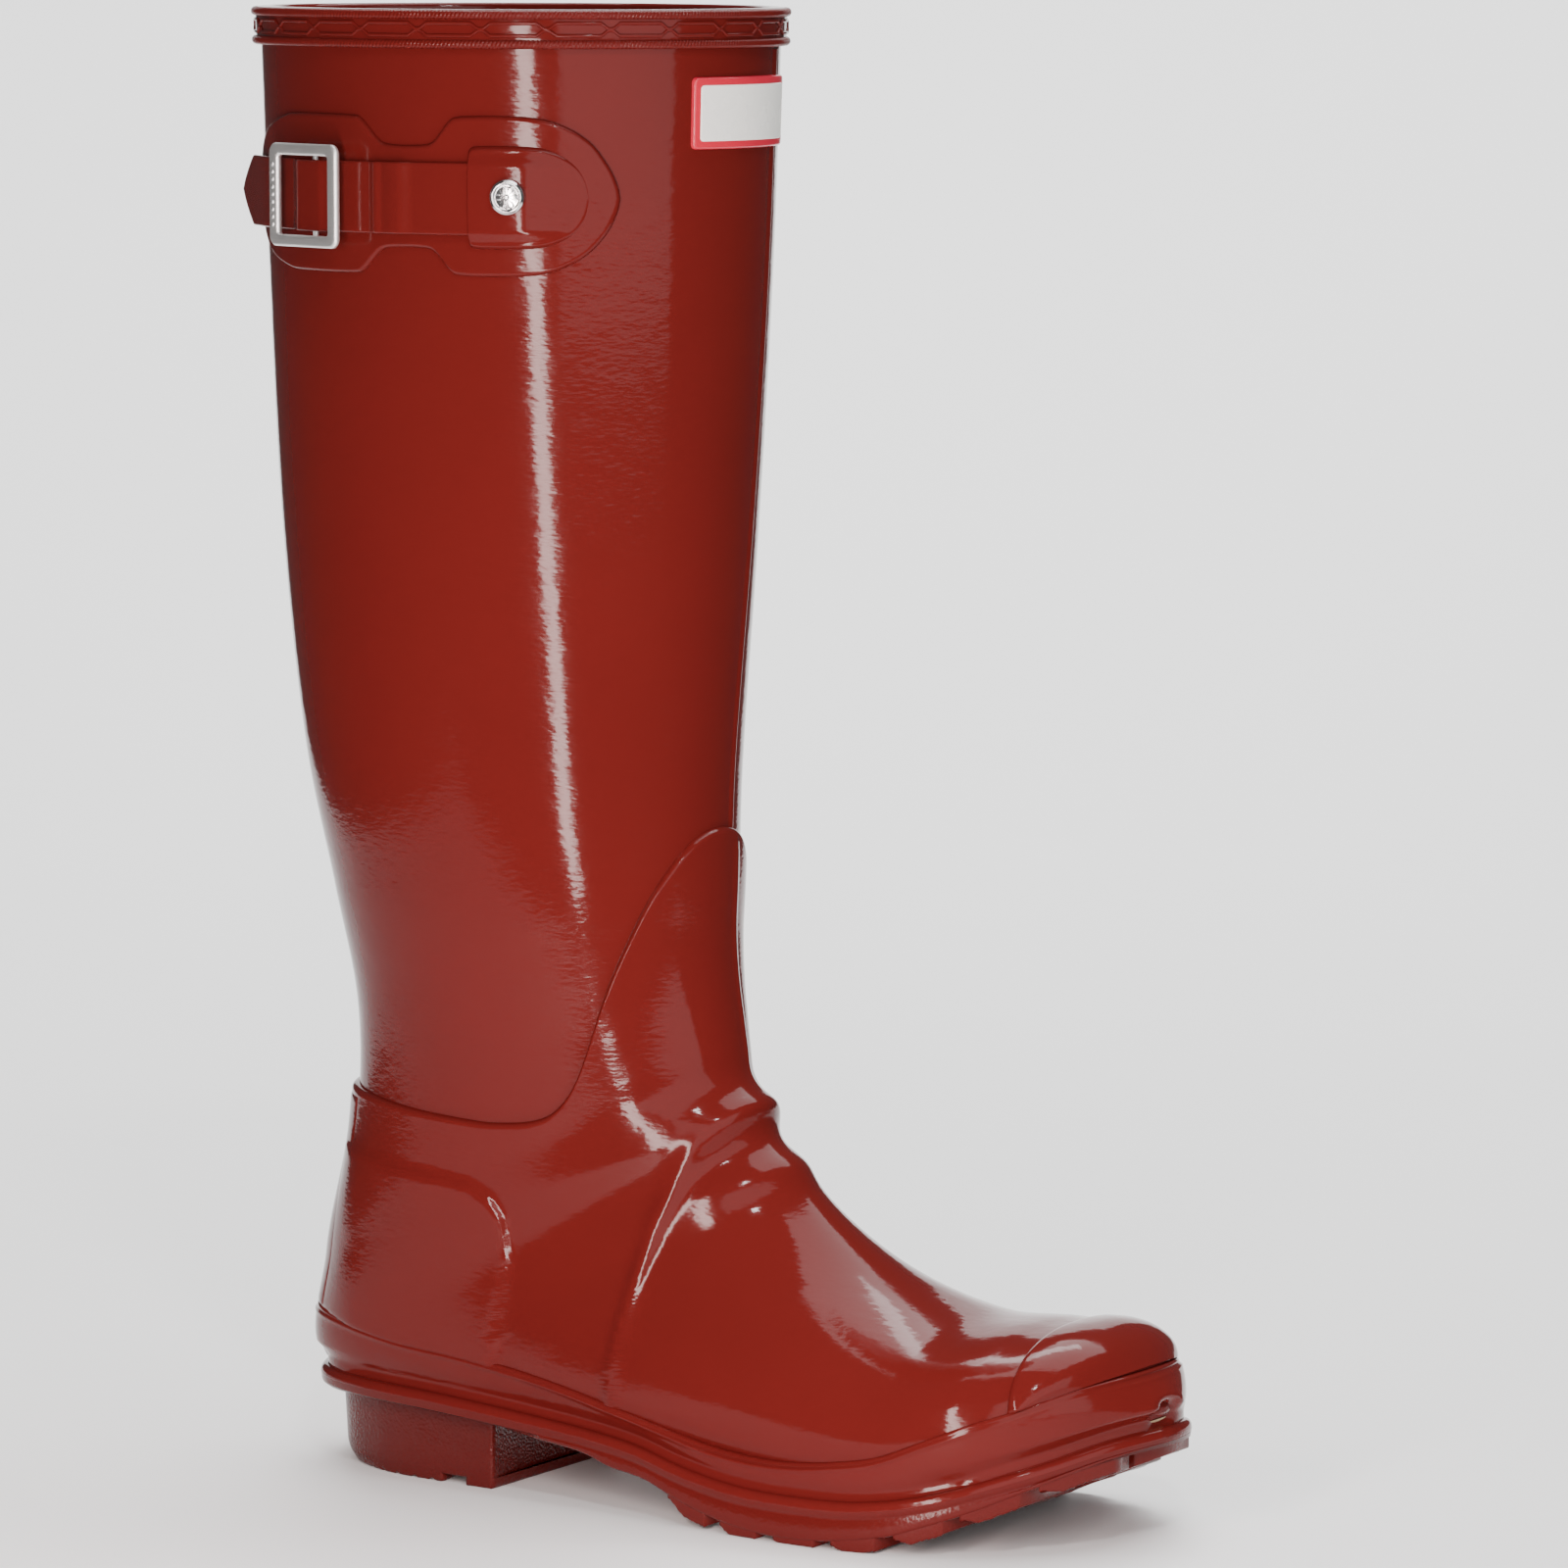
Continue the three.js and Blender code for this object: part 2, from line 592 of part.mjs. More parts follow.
// Strap set on the outer side
const strapHalf = strapWidth / 2;
const patchOut = appliedIn + patchThick;
const lobe = patchHeight / 2;
const waist = strapHalf + patchMargin;
// The upper half of each patch outline, from the back to the front; the lower half mirrors it
const patchEdge = [[-109, 9], [-102, 15.5], [-87, lobe], [-61, lobe], [-52, waist], [-38, waist],
  [-31, lobe], [-10, lobe], [0, 16.5], [6, 9], [8, 0]];
const coverEdge = [[-27, waist], [-9, waist], [-1.5, waist - 3], [1.5, 0]];
function outerPatch(edge, innerOffset, outerOffset, turns) {
  const lower = edge.map(([x, z]) => [x, -z]).filter(([x, z]) => z < 0).reverse();
  const outline = [...edge, ...lower].map(([x, z]) => [x, z + strapLevel]);
  const slab = legBand(turns, same(strapLevel - lobe - patchMargin), same(strapLevel + lobe + patchMargin),
    same(innerOffset), same(outerOffset));
  return slab.intersect(sidePrism(outline, -farSide, 0));
}
const basePatch = outerPatch(patchEdge, appliedIn, patchOut, spread(patchFrom, patchTo, 26));
addPiece('strap_base_patch', basePatch.subtract(studHole), redRubber);

// The buckle's plane, flat on the leg's tangent, and how far the leg leans over half a strap's width
const frameFoot = legPoint(strapLevel, radians(buckleTurn), 0);
const frameOut = legPoint(strapLevel, radians(buckleTurn), 1).sub(frameFoot).normalize();
const frameSide = new THREE.Vector3(-frameOut.y, frameOut.x, 0);
const framePlace = (a, b, out) => frameFoot.clone().addScaledVector(frameSide, a)
  .add(new THREE.Vector3(0, 0, b)).addScaledVector(frameOut, out);
const barEnd = buckleHeight / 2 - buckleEndBar / 2;
const leanOver = (height) => Math.abs(legPoint(strapLevel + height, radians(buckleTurn), 0)
  .sub(frameFoot).dot(frameOut));

// The strap lies on the patch and rises over the buckle's middle bar
const strapLow = patchOut + gap;
const barAxis = strapLow + leanOver(barEnd) + barRadius;
const strapOver = barAxis + barRadius + leanOver(strapHalf) + gap;
function strapInner(degrees) {
  const away = Math.abs(degrees - buckleTurn) - riseHalf;
  return strapOver - (strapOver - strapLow) * THREE.MathUtils.clamp(away / riseSlope, 0, 1);
}
const slopeStart = buckleTurn - riseHalf - riseSlope;
const strapTurns = [...spread(strapFrom, slopeStart - 2, 14), ...spread(slopeStart, strapTo, 15)];
const strapBody = legBand(strapTurns, same(strapLevel - strapHalf), same(strapLevel + strapHalf),
  strapInner, (degrees) => strapInner(degrees) + strapThick);
addPiece('strap', strapBody.subtract(studHole), redRubber);

const strapTop = strapLow + strapThick;
const coverOut = strapTop + gap + coverThick;
const strapRoom = legBand(spread(strapFrom - tailGapTurn, coverTo, 12), same(strapLevel - strapHalf - gap),
  same(strapLevel + strapHalf + gap), same(patchOut), same(strapTop + gap));
const coverBody = outerPatch(coverEdge, patchOut + gap, coverOut, spread(coverFrom, coverTo, 12));
addPiece('strap_cover_patch', coverBody.subtract(strapRoom).subtract(studHole), redRubber);

// Stud, post and inside washer. The washer seats where the lining reaches furthest in under it.
const underWasher = studDisc(washerRadius, -farSide / 4, farSide / 4, studSides);
const washerSeat = liningBody.intersect(underWasher).getMesh();
const seatReach = Array.from({ length: washerSeat.numVert }, (value, index) => {
  const start = index * washerSeat.numProp;
  const [x, y, z] = washerSeat.vertProperties.subarray(start, start + 3);
  return new THREE.Vector3(x, y, z).sub(studFoot).dot(studOut);
});
const washerTop = Math.min(...seatReach) - gap;
const capFrom = coverOut + gap;
addPiece('stud_cap', studDisc(studRadius, capFrom, capFrom + studHeight, studSides, studCrown), satinMetal);
addPiece('stud_post', studDisc(postRadius, washerTop + gap, coverOut, postSides), satinMetal);
const washer = studDisc(washerRadius, washerTop - washerThick, washerTop, studSides, gap);
addPiece('stud_washer', washer, satinMetal);

// Buckle frame with a round middle bar that it tilts about
function frameBlock(outline, from, to) {
  return prism(outline, (a, b, side) => framePlace(a, b, side ? to : from));
}
function roundedBox(width, height, radius) {
  return [[1, 1], [-1, 1], [-1, -1], [1, -1]].flatMap(([sx, sz], index) =>
    spread(index * 90, index * 90 + 90, 4).map((degrees) => [
      sx * (width / 2 - radius) + radius * Math.cos(radians(degrees)),
      sz * (height / 2 - radius) + radius * Math.sin(radians(degrees)),
    ]));
}
const frameLow = patchOut + buckleLift;
const frameHigh = frameLow + buckleThick;
const windowWidth = buckleWidth - buckleSideBar * 2;
const windowHeight = buckleHeight - buckleEndBar * 2;
const frameRing = frameBlock(roundedBox(buckleWidth, buckleHeight, cornerRadius), frameLow, frameHigh)
  .subtract(frameBlock(roundedBox(windowWidth, windowHeight, windowRadius), frameLow - 1, frameHigh + 1));
const middleBar = prism(circle(postSides), (a, b, side) =>
  framePlace(a * barRadius, side ? barEnd : -barEnd, barAxis + b * barRadius));
const cheekHalf = barRadius - 0.07;
function cheek(from, to) {
  return frameBlock([[-cheekHalf, from], [cheekHalf, from], [cheekHalf, to], [-cheekHalf, to]],
    barAxis, frameLow + buckleThick / 2);
}
const cheekFrom = strapHalf + windowPlay / 2;
const buckle = frameRing.add(middleBar).add(cheek(cheekFrom, barEnd)).add(cheek(-barEnd, -cheekFrom));
addPiece('buckle_frame', buckle, satinMetal);

// Free end of the strap, past the buckle
const tailTurn = strapTo + tailGapTurn;
const tailFoot = legPoint(strapLevel, radians(tailTurn), 0);
const tailOut = legPoint(strapLevel, radians(tailTurn), 1).sub(tailFoot).normalize();
const tailBack = new THREE.Vector3(tailOut.y, -tailOut.x, 0);
const tailSide = tailLength - tailPoint;
const tipSide = tailLength - tipRound;
const tailOutline = [[0, -strapHalf], [tailSide, -strapHalf], [tipSide, -tipRound], [tailLength, 0],
  [tipSide, tipRound], [tailSide, strapHalf], [0, strapHalf]];
const tailBody = prism(tailOutline, (a, b, side) => tailFoot.clone().addScaledVector(tailBack, a)
  .add(new THREE.Vector3(0, 0, strapLevel - tailFoot.z + b))
  .addScaledVector(tailOut, side ? strapTop : strapLow));
addPiece('strap_tail', tailBody, redRubber);

// Centre the footprint on the origin
const footprint = new THREE.Box3().setFromObject(group);
const middle = footprint.getCenter(new THREE.Vector3());
for (const piece of group.children) piece.geometry.translate(-middle.x, -middle.y, -footprint.min.z);

export default group;
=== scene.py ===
import math
import bpy
import numpy as np
from mathutils import Matrix, Vector
from mathutils.bvhtree import BVHTree


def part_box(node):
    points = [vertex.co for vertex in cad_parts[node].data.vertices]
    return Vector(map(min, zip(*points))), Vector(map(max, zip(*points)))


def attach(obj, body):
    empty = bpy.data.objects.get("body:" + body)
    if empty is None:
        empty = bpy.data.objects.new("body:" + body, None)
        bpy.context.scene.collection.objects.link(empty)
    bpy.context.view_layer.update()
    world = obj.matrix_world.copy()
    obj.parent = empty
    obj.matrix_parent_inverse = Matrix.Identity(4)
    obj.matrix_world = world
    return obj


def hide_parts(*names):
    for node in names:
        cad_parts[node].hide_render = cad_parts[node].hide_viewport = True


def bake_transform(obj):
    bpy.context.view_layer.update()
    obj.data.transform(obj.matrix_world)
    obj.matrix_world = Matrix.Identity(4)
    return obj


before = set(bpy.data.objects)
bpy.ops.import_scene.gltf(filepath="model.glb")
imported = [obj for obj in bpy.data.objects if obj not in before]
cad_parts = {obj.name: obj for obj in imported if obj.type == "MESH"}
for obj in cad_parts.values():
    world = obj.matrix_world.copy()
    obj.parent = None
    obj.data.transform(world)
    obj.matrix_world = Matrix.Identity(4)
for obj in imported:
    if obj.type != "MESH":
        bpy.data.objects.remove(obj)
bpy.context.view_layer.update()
pi = math.pi

# Everything below is worked out in millimetres in the form's own frame, and moved into the row frame
# as each mesh is made. The heel core sits at a known place in both.
coreBehind = 71.0  # from the form's origin back to the core's middle
coreLow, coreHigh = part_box("heel_core")
move = np.array([(coreLow.x + coreHigh.x) * 500 + coreBehind, (coreLow.y + coreHigh.y) * 500, 0.0])


# 0 below low, 1 above high, eased between
def smooth(value, low, high):
    t = np.clip((value - low) / (high - low), 0, 1)
    return t * t * (3 - 2 * t)


# Points in millimetres in the form's frame, faces as an array of quads or a list of polygons
def makeObject(name, points, faces, material, body="boot", stands=(), slotName="gloss_rubber"):
    mesh = bpy.data.meshes.new(name)
    points = (np.asarray(points, float).reshape(-1, 3) + move) / 1000
    if isinstance(faces, np.ndarray):
        count, sides = faces.shape
        mesh.vertices.add(len(points))
        mesh.vertices.foreach_set("co", points.ravel())
        mesh.loops.add(count * sides)
        mesh.loops.foreach_set("vertex_index", faces.ravel().astype(np.int32))
        mesh.polygons.add(count)
        mesh.polygons.foreach_set("loop_start", np.arange(0, count * sides, sides, dtype=np.int32))
        mesh.update(calc_edges=True)
    else:
        mesh.from_pydata(points.tolist(), [], faces)
    mesh.validate()
    mesh.polygons.foreach_set("use_smooth", [True] * len(mesh.polygons))
    obj = bpy.data.objects.new(name, mesh)
    bpy.context.scene.collection.objects.link(obj)
    mesh.materials.append(material)
    if body:
        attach(obj, body)
    if stands:
        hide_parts(*stands)
    return obj


# Quads of a rows by columns grid of points
def gridFaces(rows, columns, wrapRows=False, wrapColumns=False, flip=False):
    r = np.arange(rows if wrapRows else rows - 1)
    c = np.arange(columns if wrapColumns else columns - 1)
    r, c = np.meshgrid(r, c, indexing="ij")
    rn, cn = (r + 1) % rows, (c + 1) % columns
    quads = np.stack([r * columns + c, r * columns + cn, rn * columns + cn, rn * columns + c], -1)
    quads = quads.reshape(-1, 4)
    return quads[:, ::-1].copy() if flip else quads


# A surface from a rows by columns grid of points
def makeGrid(name, points, wrapRows=False, wrapColumns=False, flip=False, **rest):
    faces = gridFaces(points.shape[0], points.shape[1], wrapRows, wrapColumns, flip)
    return makeObject(name, points, faces, **rest)


# Cubic curve through unevenly spaced keys, the slope at a key being the distance-weighted mean
def curveThrough(keys, values, at):
    keys, values, at = (np.asarray(v, float) for v in (keys, values, at))
    step = np.diff(keys).reshape((-1,) + (1,) * (values.ndim - 1))
    slope = np.diff(values, axis=0) / step
    inner = (slope[:-1] * step[1:] + slope[1:] * step[:-1]) / (step[:-1] + step[1:])
    tangent = np.concatenate([slope[:1], inner, slope[-1:]])
    index = np.clip(np.searchsorted(keys, at, side="right") - 1, 0, len(keys) - 2)
    size = step[index]
    t = (at - keys[index]).reshape(size.shape) / size
    return ((2 * t**3 - 3 * t**2 + 1) * values[index] + (t**3 - 2 * t**2 + t) * size * tangent[index]
            + (3 * t**2 - 2 * t**3) * values[index + 1] + (t**3 - t**2) * size * tangent[index + 1])


form = {
    "topZ": 398.0,
    # front x, z, back x, z, outer and inner half widths, widest share, squareness front, back, shift
    "sections": [
        [26, 398, -124.5, 398, 59, 59, 0.5, 2, 2, 0],
        [23.5, 330, -122.5, 330, 57, 57, 0.5, 2, 2, 0],
        [19.5, 260, -119.5, 260, 53.5, 53.5, 0.5, 2, 2, 0],
        [15.5, 200, -113.5, 200, 48.5, 48.5, 0.5, 2, 2, 0],
        [15, 168, -105, 160, 44, 44, 0.5, 2, 2, 0],
        [14.8, 150, -97.5, 126, 40, 40, 0.5, 2, 2.1, 0],
        [17, 132, -98.5, 92, 37, 37, 0.48, 2, 2.2, 0],
        [21.6, 112.7, -106, 55, 35.5, 35.5, 0.45, 2, 2.4, 0],
        [34, 93, -103, 25, 35.5, 36, 0.38, 2, 3, 1],
        [50, 76, -50, 24, 38, 37, 0.35, 2, 3.2, 2],
        [70, 62, 25, 17.5, 44, 41, 0.33, 2, 3.4, 4],
        [92, 54, 80, 11.5, 46.5, 44, 0.34, 2.1, 3.4, 7],
        [114, 53.5, 110, 14.5, 43, 42, 0.38, 2.3, 3, 9],
        [134, 51, 132, 21.5, 29, 29, 0.45, 2.4, 2.4, 10],
        [149, 36, 149, 34, 3, 3, 0.5, 2, 2, 10],
    ],
    "tip": 13.985,  # the last station with a width of its own, just short of the closed end
    "footOut": 1.9,
    "liningIn": -3.2,
}
sectionTable = np.array(form["sections"], float)
stationKeys = np.arange(len(sectionTable))

footTopLine = np.array([[-130, 108], [-79, 104.7], [-56, 102.6], [-36, 101.3], [-25, 102], [-18, 104],
                        [-13.5, 108.5], [-9.5, 115.5], [-3.3, 137.3], [2.7, 153], [7.5, 165.5], [11, 173],
                        [13.7, 180], [16, 184.5], [40, 184.5]])
foxingLine = np.array([[-120, 43.5], [-94, 43], [-65, 39], [-44, 37.3], [-33, 36], [-9, 32.3], [4.5, 29.5],
                       [21, 26], [40, 21.8], [58, 20.6], [79, 22.6], [91, 25], [104, 30.4], [116, 35.5],
                       [123, 38], [135, 43.5], [160, 48.5]])
weltLine = np.array([[-125, 26.5], [-80, 26.5], [-50, 25.5], [-20, 23.2], [0, 21.5], [15, 19.5], [30, 16],
                     [47, 13.4], [70, 12.6], [90, 13.4], [105, 16], [120, 20.5], [133, 25], [143, 29],
                     [160, 32.5]])
soleLine = np.array([[-125, 19.5], [-36, 19.5], [-20, 17], [0, 14.6], [10, 11.2], [20, 7], [32, 2.8],
                     [43, 0], [90, 0], [97, 1.4], [105, 4], [118, 9], [130, 14.5], [143, 20.5], [160, 25]])


# Height of a side-view line at x
def lineZ(line, x):
    return curveThrough(line[:, 0], line[:, 1], x)


# Point of the form: a section tilts between its front and back points, and runs round as a rounded box,
# with x as |cos|^(2/n) and y as |sin|^(2/n). Turn 0 looks forward, a quarter turn to the outer side.
def formAt(station, turn):
    station, turn = np.broadcast_arrays(np.asarray(station, float), np.asarray(turn, float))
    row = np.moveaxis(curveThrough(stationKeys, sectionTable, station), -1, 0)
    frontX, frontZ, backX, backZ, outer, inner, widest, squareFront, squareBack, shift = row
    cosine, sine = np.cos(turn), np.sin(turn)
    square = np.where(cosine >= 0, squareFront, squareBack)
    along, across = np.abs(cosine) ** (2 / square), np.abs(sine) ** (2 / square)
    share = np.where(cosine >= 0, widest + (1 - widest) * along, widest * (1 - along))
    half = np.where(sine >= 0, outer, inner)
    return np.stack([backX + (frontX - backX) * share, shift - np.sign(sine) * half * across,
                     backZ + (frontZ - backZ) * share], -1)


# Outward direction: a small step round the form crossed with a small step down it
def normalAt(station, turn, step=0.015):
    station, turn = np.broadcast_arrays(np.asarray(station, float), np.asarray(turn, float))
    low = np.clip(station - step, 0, stationKeys[-1])
    high = np.clip(station + step, 0, form["tip"])
    down = formAt(high, turn) - formAt(low, turn)
    around = formAt(station, turn + step) - formAt(station, turn - step)
    normal = np.cross(around, down)
    return normal / np.maximum(np.linalg.norm(normal, axis=-1, keepdims=True), 1e-9)


# Point of the form, moved outwards by the offset
def wallAt(station, turn, offset):
    return formAt(station, turn) + normalAt(station, turn) * np.asarray(offset, float)[..., None]


# Station along each turn at which test(point) changes from negative to positive
def stationWhere(test, turn, low, high):
    low = np.full(np.shape(turn), float(low))
    high = np.full(np.shape(turn), float(high))
    for _ in range(36):
        middle = (low + high) / 2
        past = test(formAt(middle, turn)) > 0
        high = np.where(past, middle, high)
        low = np.where(past, low, middle)
    return (low + high) / 2


# Point beside the straight part of the leg, offset level from its wall
def legAt(height, turn, offset=0.0):
    height, turn, offset = np.broadcast_arrays(*[np.asarray(v, float) for v in (height, turn, offset)])
    station = stationWhere(lambda p: height - p[..., 2], turn, 0, 4)
    normal = normalAt(station, turn)
    normal[..., 2] = 0
    normal /= np.linalg.norm(normal, axis=-1, keepdims=True)
    point = formAt(station, turn)
    return point + normal * offset[..., None]


# Least distance from each 2D point to a line of 2D points, and the side of the line it lies on: above zero
# to the left of the line's direction.
def lineDistance(points, line):
    best = np.full(points.shape[:-1], 1e9)
    side = np.ones(points.shape[:-1])
    for start, stop in zip(line[:-1], line[1:]):
        way = stop - start
        t = np.clip(((points - start) @ way) / max(way @ way, 1e-9), 0, 1)
        away = points - (start + t[..., None] * way)
        distance = np.linalg.norm(away, axis=-1)
        closer = distance < best
        best = np.where(closer, distance, best)
        side = np.where(closer, np.sign(way[0] * away[..., 1] - way[1] * away[..., 0]), side)
    return best, side


# Height share of a rounded edge, at a distance in from the edge: a quarter circle, then 1.
def lip(distance, radius):
    t = np.clip(1 - distance / radius, 0, 1)
    return np.sqrt(np.clip(1 - t * t, 0, 1))


print("form ready")


# A node socket that takes ordinary arithmetic
class Value:
    def __init__(self, tree, socket):
        self.tree, self.socket = tree, socket

    def op(self, operation, *others):
        node = self.tree.nodes.new("ShaderNodeMath")
        node.operation = operation
        for at, value in enumerate((self, *others)):
            if isinstance(value, Value):
                self.tree.links.new(value.socket, node.inputs[at])
            else:
                node.inputs[at].default_value = value
        return Value(self.tree, node.outputs[0])

    def __add__(self, other):
        return self.op("ADD", other)

    def __mul__(self, other):
        return self.op("MULTIPLY", other)

    # Any other node: its inputs by name or number, its settings by name
    def node(self, kind, output=0, inputs=None, **settings):
        node = self.tree.nodes.new(kind)
        for key, value in settings.items():
            setattr(node, key, value)
        for key, value in (inputs or {}).items():
            if isinstance(value, Value):
                self.tree.links.new(value.socket, node.inputs[key])
            else:
                node.inputs[key].default_value = value
        return Value(self.tree, node.outputs[output])


# A new material with its tree, its shader and the object's own coordinates
def startMaterial(name):
    material = bpy.data.materials.new(name)
    material.use_nodes = True
    tree = material.node_tree
    shader = next(node for node in tree.nodes if node.type == "BSDF_PRINCIPLED")
    where = tree.nodes.new("ShaderNodeTexCoord")
    return material, tree, shader, Value(tree, where.outputs["Object"])


def link(tree, shader, name, value):
    tree.links.new(value.socket, shader.inputs[name])


# Soft random value between 0 and 1 at a place
def noise(place, scale, detail=2.0, rough=0.5):
    return place.node("ShaderNodeTexNoise", "Fac", {"Vector": place, "Scale": scale, "Detail": detail,
                                                    "Roughness": rough})


# Colour between the first and the second by a factor
def blendColour(place, factor, first, second):
    return place.node("ShaderNodeMix", 2, {0: factor, 6: (*first, 1), 7: (*second, 1)}, data_type="RGBA")


def bump(place, height, distance):
    return place.node("ShaderNodeBump", "Normal", {"Height": height, "Distance": distance, "Strength": 1.0})


rubber = {"deep": (0.088, 0.0082, 0.007), "bright": (0.11, 0.0102, 0.0085), "patchScale": 14.0,
          "waveScale": 30.0, "peelScale": 170.0, "peelShare": 0.42, "fineScale": 380.0, "fineShare": 0.22,
          "fineFlat": 2.6, "depth": 0.00016, "roughScale": 90.0, "roughLow": 0.07, "roughAdd": 0.06,
          "pebbleScale": 1100.0, "pebbleShare": 0.9, "pebbleRough": 0.12, "specular": 0.14}


# Glossy lacquered rubber with an uneven skin. Grain adds a fine pebble and dulls it
def rubberMaterial(name, grain=0.0, deep=None, bright=None, rough=None):
    material, tree, shader, place = startMaterial(name)
    patches = noise(place, rubber["patchScale"], 3)
    colour = blendColour(place, patches, deep or rubber["deep"], bright or rubber["bright"])
    link(tree, shader, "Base Color", colour)
    flattened = place.node("ShaderNodeMapping", 0, {"Vector": place, "Scale": (1, 1, rubber["fineFlat"])})
    height = (noise(place, rubber["waveScale"], 1.0)
              + noise(place, rubber["peelScale"], 1.5) * rubber["peelShare"]
              + noise(flattened, rubber["fineScale"], 1.0) * rubber["fineShare"])
    low = rubber["roughLow"] if rough is None else rough
    roughness = noise(place, rubber["roughScale"], 2) * rubber["roughAdd"] + low
    if grain:
        pebble = place.node("ShaderNodeTexVoronoi", "Distance",
                            {"Vector": place, "Scale": rubber["pebbleScale"]})
        height = height + pebble * (grain * rubber["pebbleShare"])
        roughness = roughness + rubber["pebbleRough"] * grain
    link(tree, shader, "Roughness", roughness)
    link(tree, shader, "Normal", bump(place, height, rubber["depth"]))
    shader.inputs["Specular IOR Level"].default_value = rubber["specular"]
    return material


# Brushed metal: streaks along one way and fine spots, in colour, gloss and height
def metalMaterial(name, colour, rough, scratch):
    material, tree, shader, place = startMaterial(name)
    shader.inputs["Metallic"].default_value = 1.0
    stretched = place.node("ShaderNodeMapping", 0, {"Vector": place, "Scale": (4.0, 4.0, 90.0)})
    streak = noise(stretched, 60, 3)
    spots = noise(place, 400, 2)
    link(tree, shader, "Base Color", blendColour(place, streak, [c * 0.86 for c in colour], colour))
    link(tree, shader, "Roughness", streak * scratch + spots * 0.06 + rough)
    link(tree, shader, "Normal", bump(place, streak + spots * 0.4, 0.00002))
    return material


# Fine knitted ribs running up and across
def clothMaterial(name, dark, light, pitch):
    material, tree, shader, place = startMaterial(name)
    rib = place.node("ShaderNodeTexWave", "Fac", {"Vector": place, "Scale": pitch, "Distortion": 1.2,
                                                  "Detail": 1.0}, bands_direction="DIAGONAL")
    cross = place.node("ShaderNodeTexWave", "Fac", {"Vector": place, "Scale": pitch * 0.8,
                                                    "Distortion": 0.8}, bands_direction="Z")
    knit = rib * cross
    fuzz = knit * 0.7 + noise(place, 220, 2) * 0.3
    link(tree, shader, "Base Color", blendColour(place, fuzz, dark, light))
    link(tree, shader, "Roughness", noise(place, 60, 1) * 0.1 + 0.85)
    link(tree, shader, "Normal", bump(place, knit, 0.0005))
    return material


# Moulded plastic, or pressed board where it is rough: soft patches of two near colours
def plasticMaterial(name, low, high, rough=0.18):
    material, tree, shader, place = startMaterial(name)
    link(tree, shader, "Base Color", blendColour(place, noise(place, 50, 2), low, high))
    link(tree, shader, "Roughness", noise(place, 120, 2) * 0.1 + rough)
    link(tree, shader, "Normal", bump(place, noise(place, 260, 1.5), 0.00006))
    return material


glossRed = rubberMaterial("glossRubber")
grainRed = rubberMaterial("grainRubber", 1.0, (0.068, 0.007, 0.006), (0.09, 0.0085, 0.0072))
soleRed = rubberMaterial("soleRubber", 0.3, (0.076, 0.0072, 0.006), (0.098, 0.0088, 0.0074), 0.12)
innerRed = rubberMaterial("innerRubber", 1.0, (0.07, 0.006, 0.005), (0.1, 0.008, 0.007), 0.4)
satin = metalMaterial("satinMetal", (0.93, 0.93, 0.92), 0.4, 0.12)
chrome = metalMaterial("chrome", (0.72, 0.72, 0.73), 0.08, 0.04)
steel = metalMaterial("plainSteel", (0.5, 0.5, 0.5), 0.3, 0.1)
cloth = clothMaterial("liningCloth", (0.05, 0.048, 0.046), (0.16, 0.155, 0.15), 320.0)
footbed = clothMaterial("footbedCloth", (0.08, 0.075, 0.07), (0.2, 0.19, 0.18), 260.0)
board = plasticMaterial("pressedBoard", (0.34, 0.24, 0.14), (0.44, 0.33, 0.2), 0.7)
labelRed = plasticMaterial("labelRed", (0.5, 0.012, 0.035), (0.6, 0.018, 0.045))
labelWhite = plasticMaterial("labelWhite", (0.86, 0.85, 0.8), (0.93, 0.92, 0.88), 0.22)
print("materials ready")

# CAD pieces that stay as they are, all inside or behind others
plainPieces = {"heel_counter": innerRed, "vamp_reinforcement": innerRed, "toe_puff": innerRed,
               "heel_core": innerRed, "insole_board": board, "shank": steel, "stud_post": steel,
               "stud_washer": steel}
for nodeName, material in plainPieces.items():
    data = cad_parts[nodeName].data
    data.materials.clear()
    data.materials.append(material)

leg = {"columns": 360, "rows": 220, "under": 14.0, "easing": 16.0}
turns = np.arange(leg["columns"]) * 2 * pi / leg["columns"]

# the foot piece's top edge, with its corners eased by a bell of weights
fineX = np.linspace(-130, 40, 1200)
rawTop = np.interp(fineX, footTopLine[:, 0], footTopLine[:, 1])
easing = np.exp(-0.5 * (np.arange(-60, 61) / leg["easing"]) ** 2)
easing /= easing.sum()
padded = np.concatenate([np.full(60, rawTop[0]), rawTop, np.full(60, rawTop[-1])])
easedTop = np.convolve(padded, easing, "valid")


# Above zero once a point is below the foot piece's top edge
def overTop(point):
    return np.interp(point[..., 0], fineX, easedTop) - point[..., 2]


lowStation = stationWhere(lambda p: overTop(p) - leg["under"], turns, 2.5, 9)
share = np.linspace(0, 1, leg["rows"])[:, None]
legPoints = formAt(share * lowStation[None], turns[None])
makeGrid("legSkin", legPoints, wrapColumns=True, flip=True, material=glossRed, stands=["leg_shaft"])

lining = {"rows": 220, "last": 13.96, "above": 0.4}
liningStation = np.linspace(0, lining["last"], lining["rows"])[:, None]
liningOffset = np.full((lining["rows"], leg["columns"]), form["liningIn"])
liningPoints = wallAt(liningStation, turns[None], liningOffset)
liningPoints[0, :, 2] = form["topZ"] + lining["above"]
liningPoints[1:, :, 2] = np.minimum(liningPoints[1:, :, 2], form["topZ"])
makeGrid("liningKnit", liningPoints, wrapColumns=True, material=cloth, stands=["lining"], slotName="cloth")

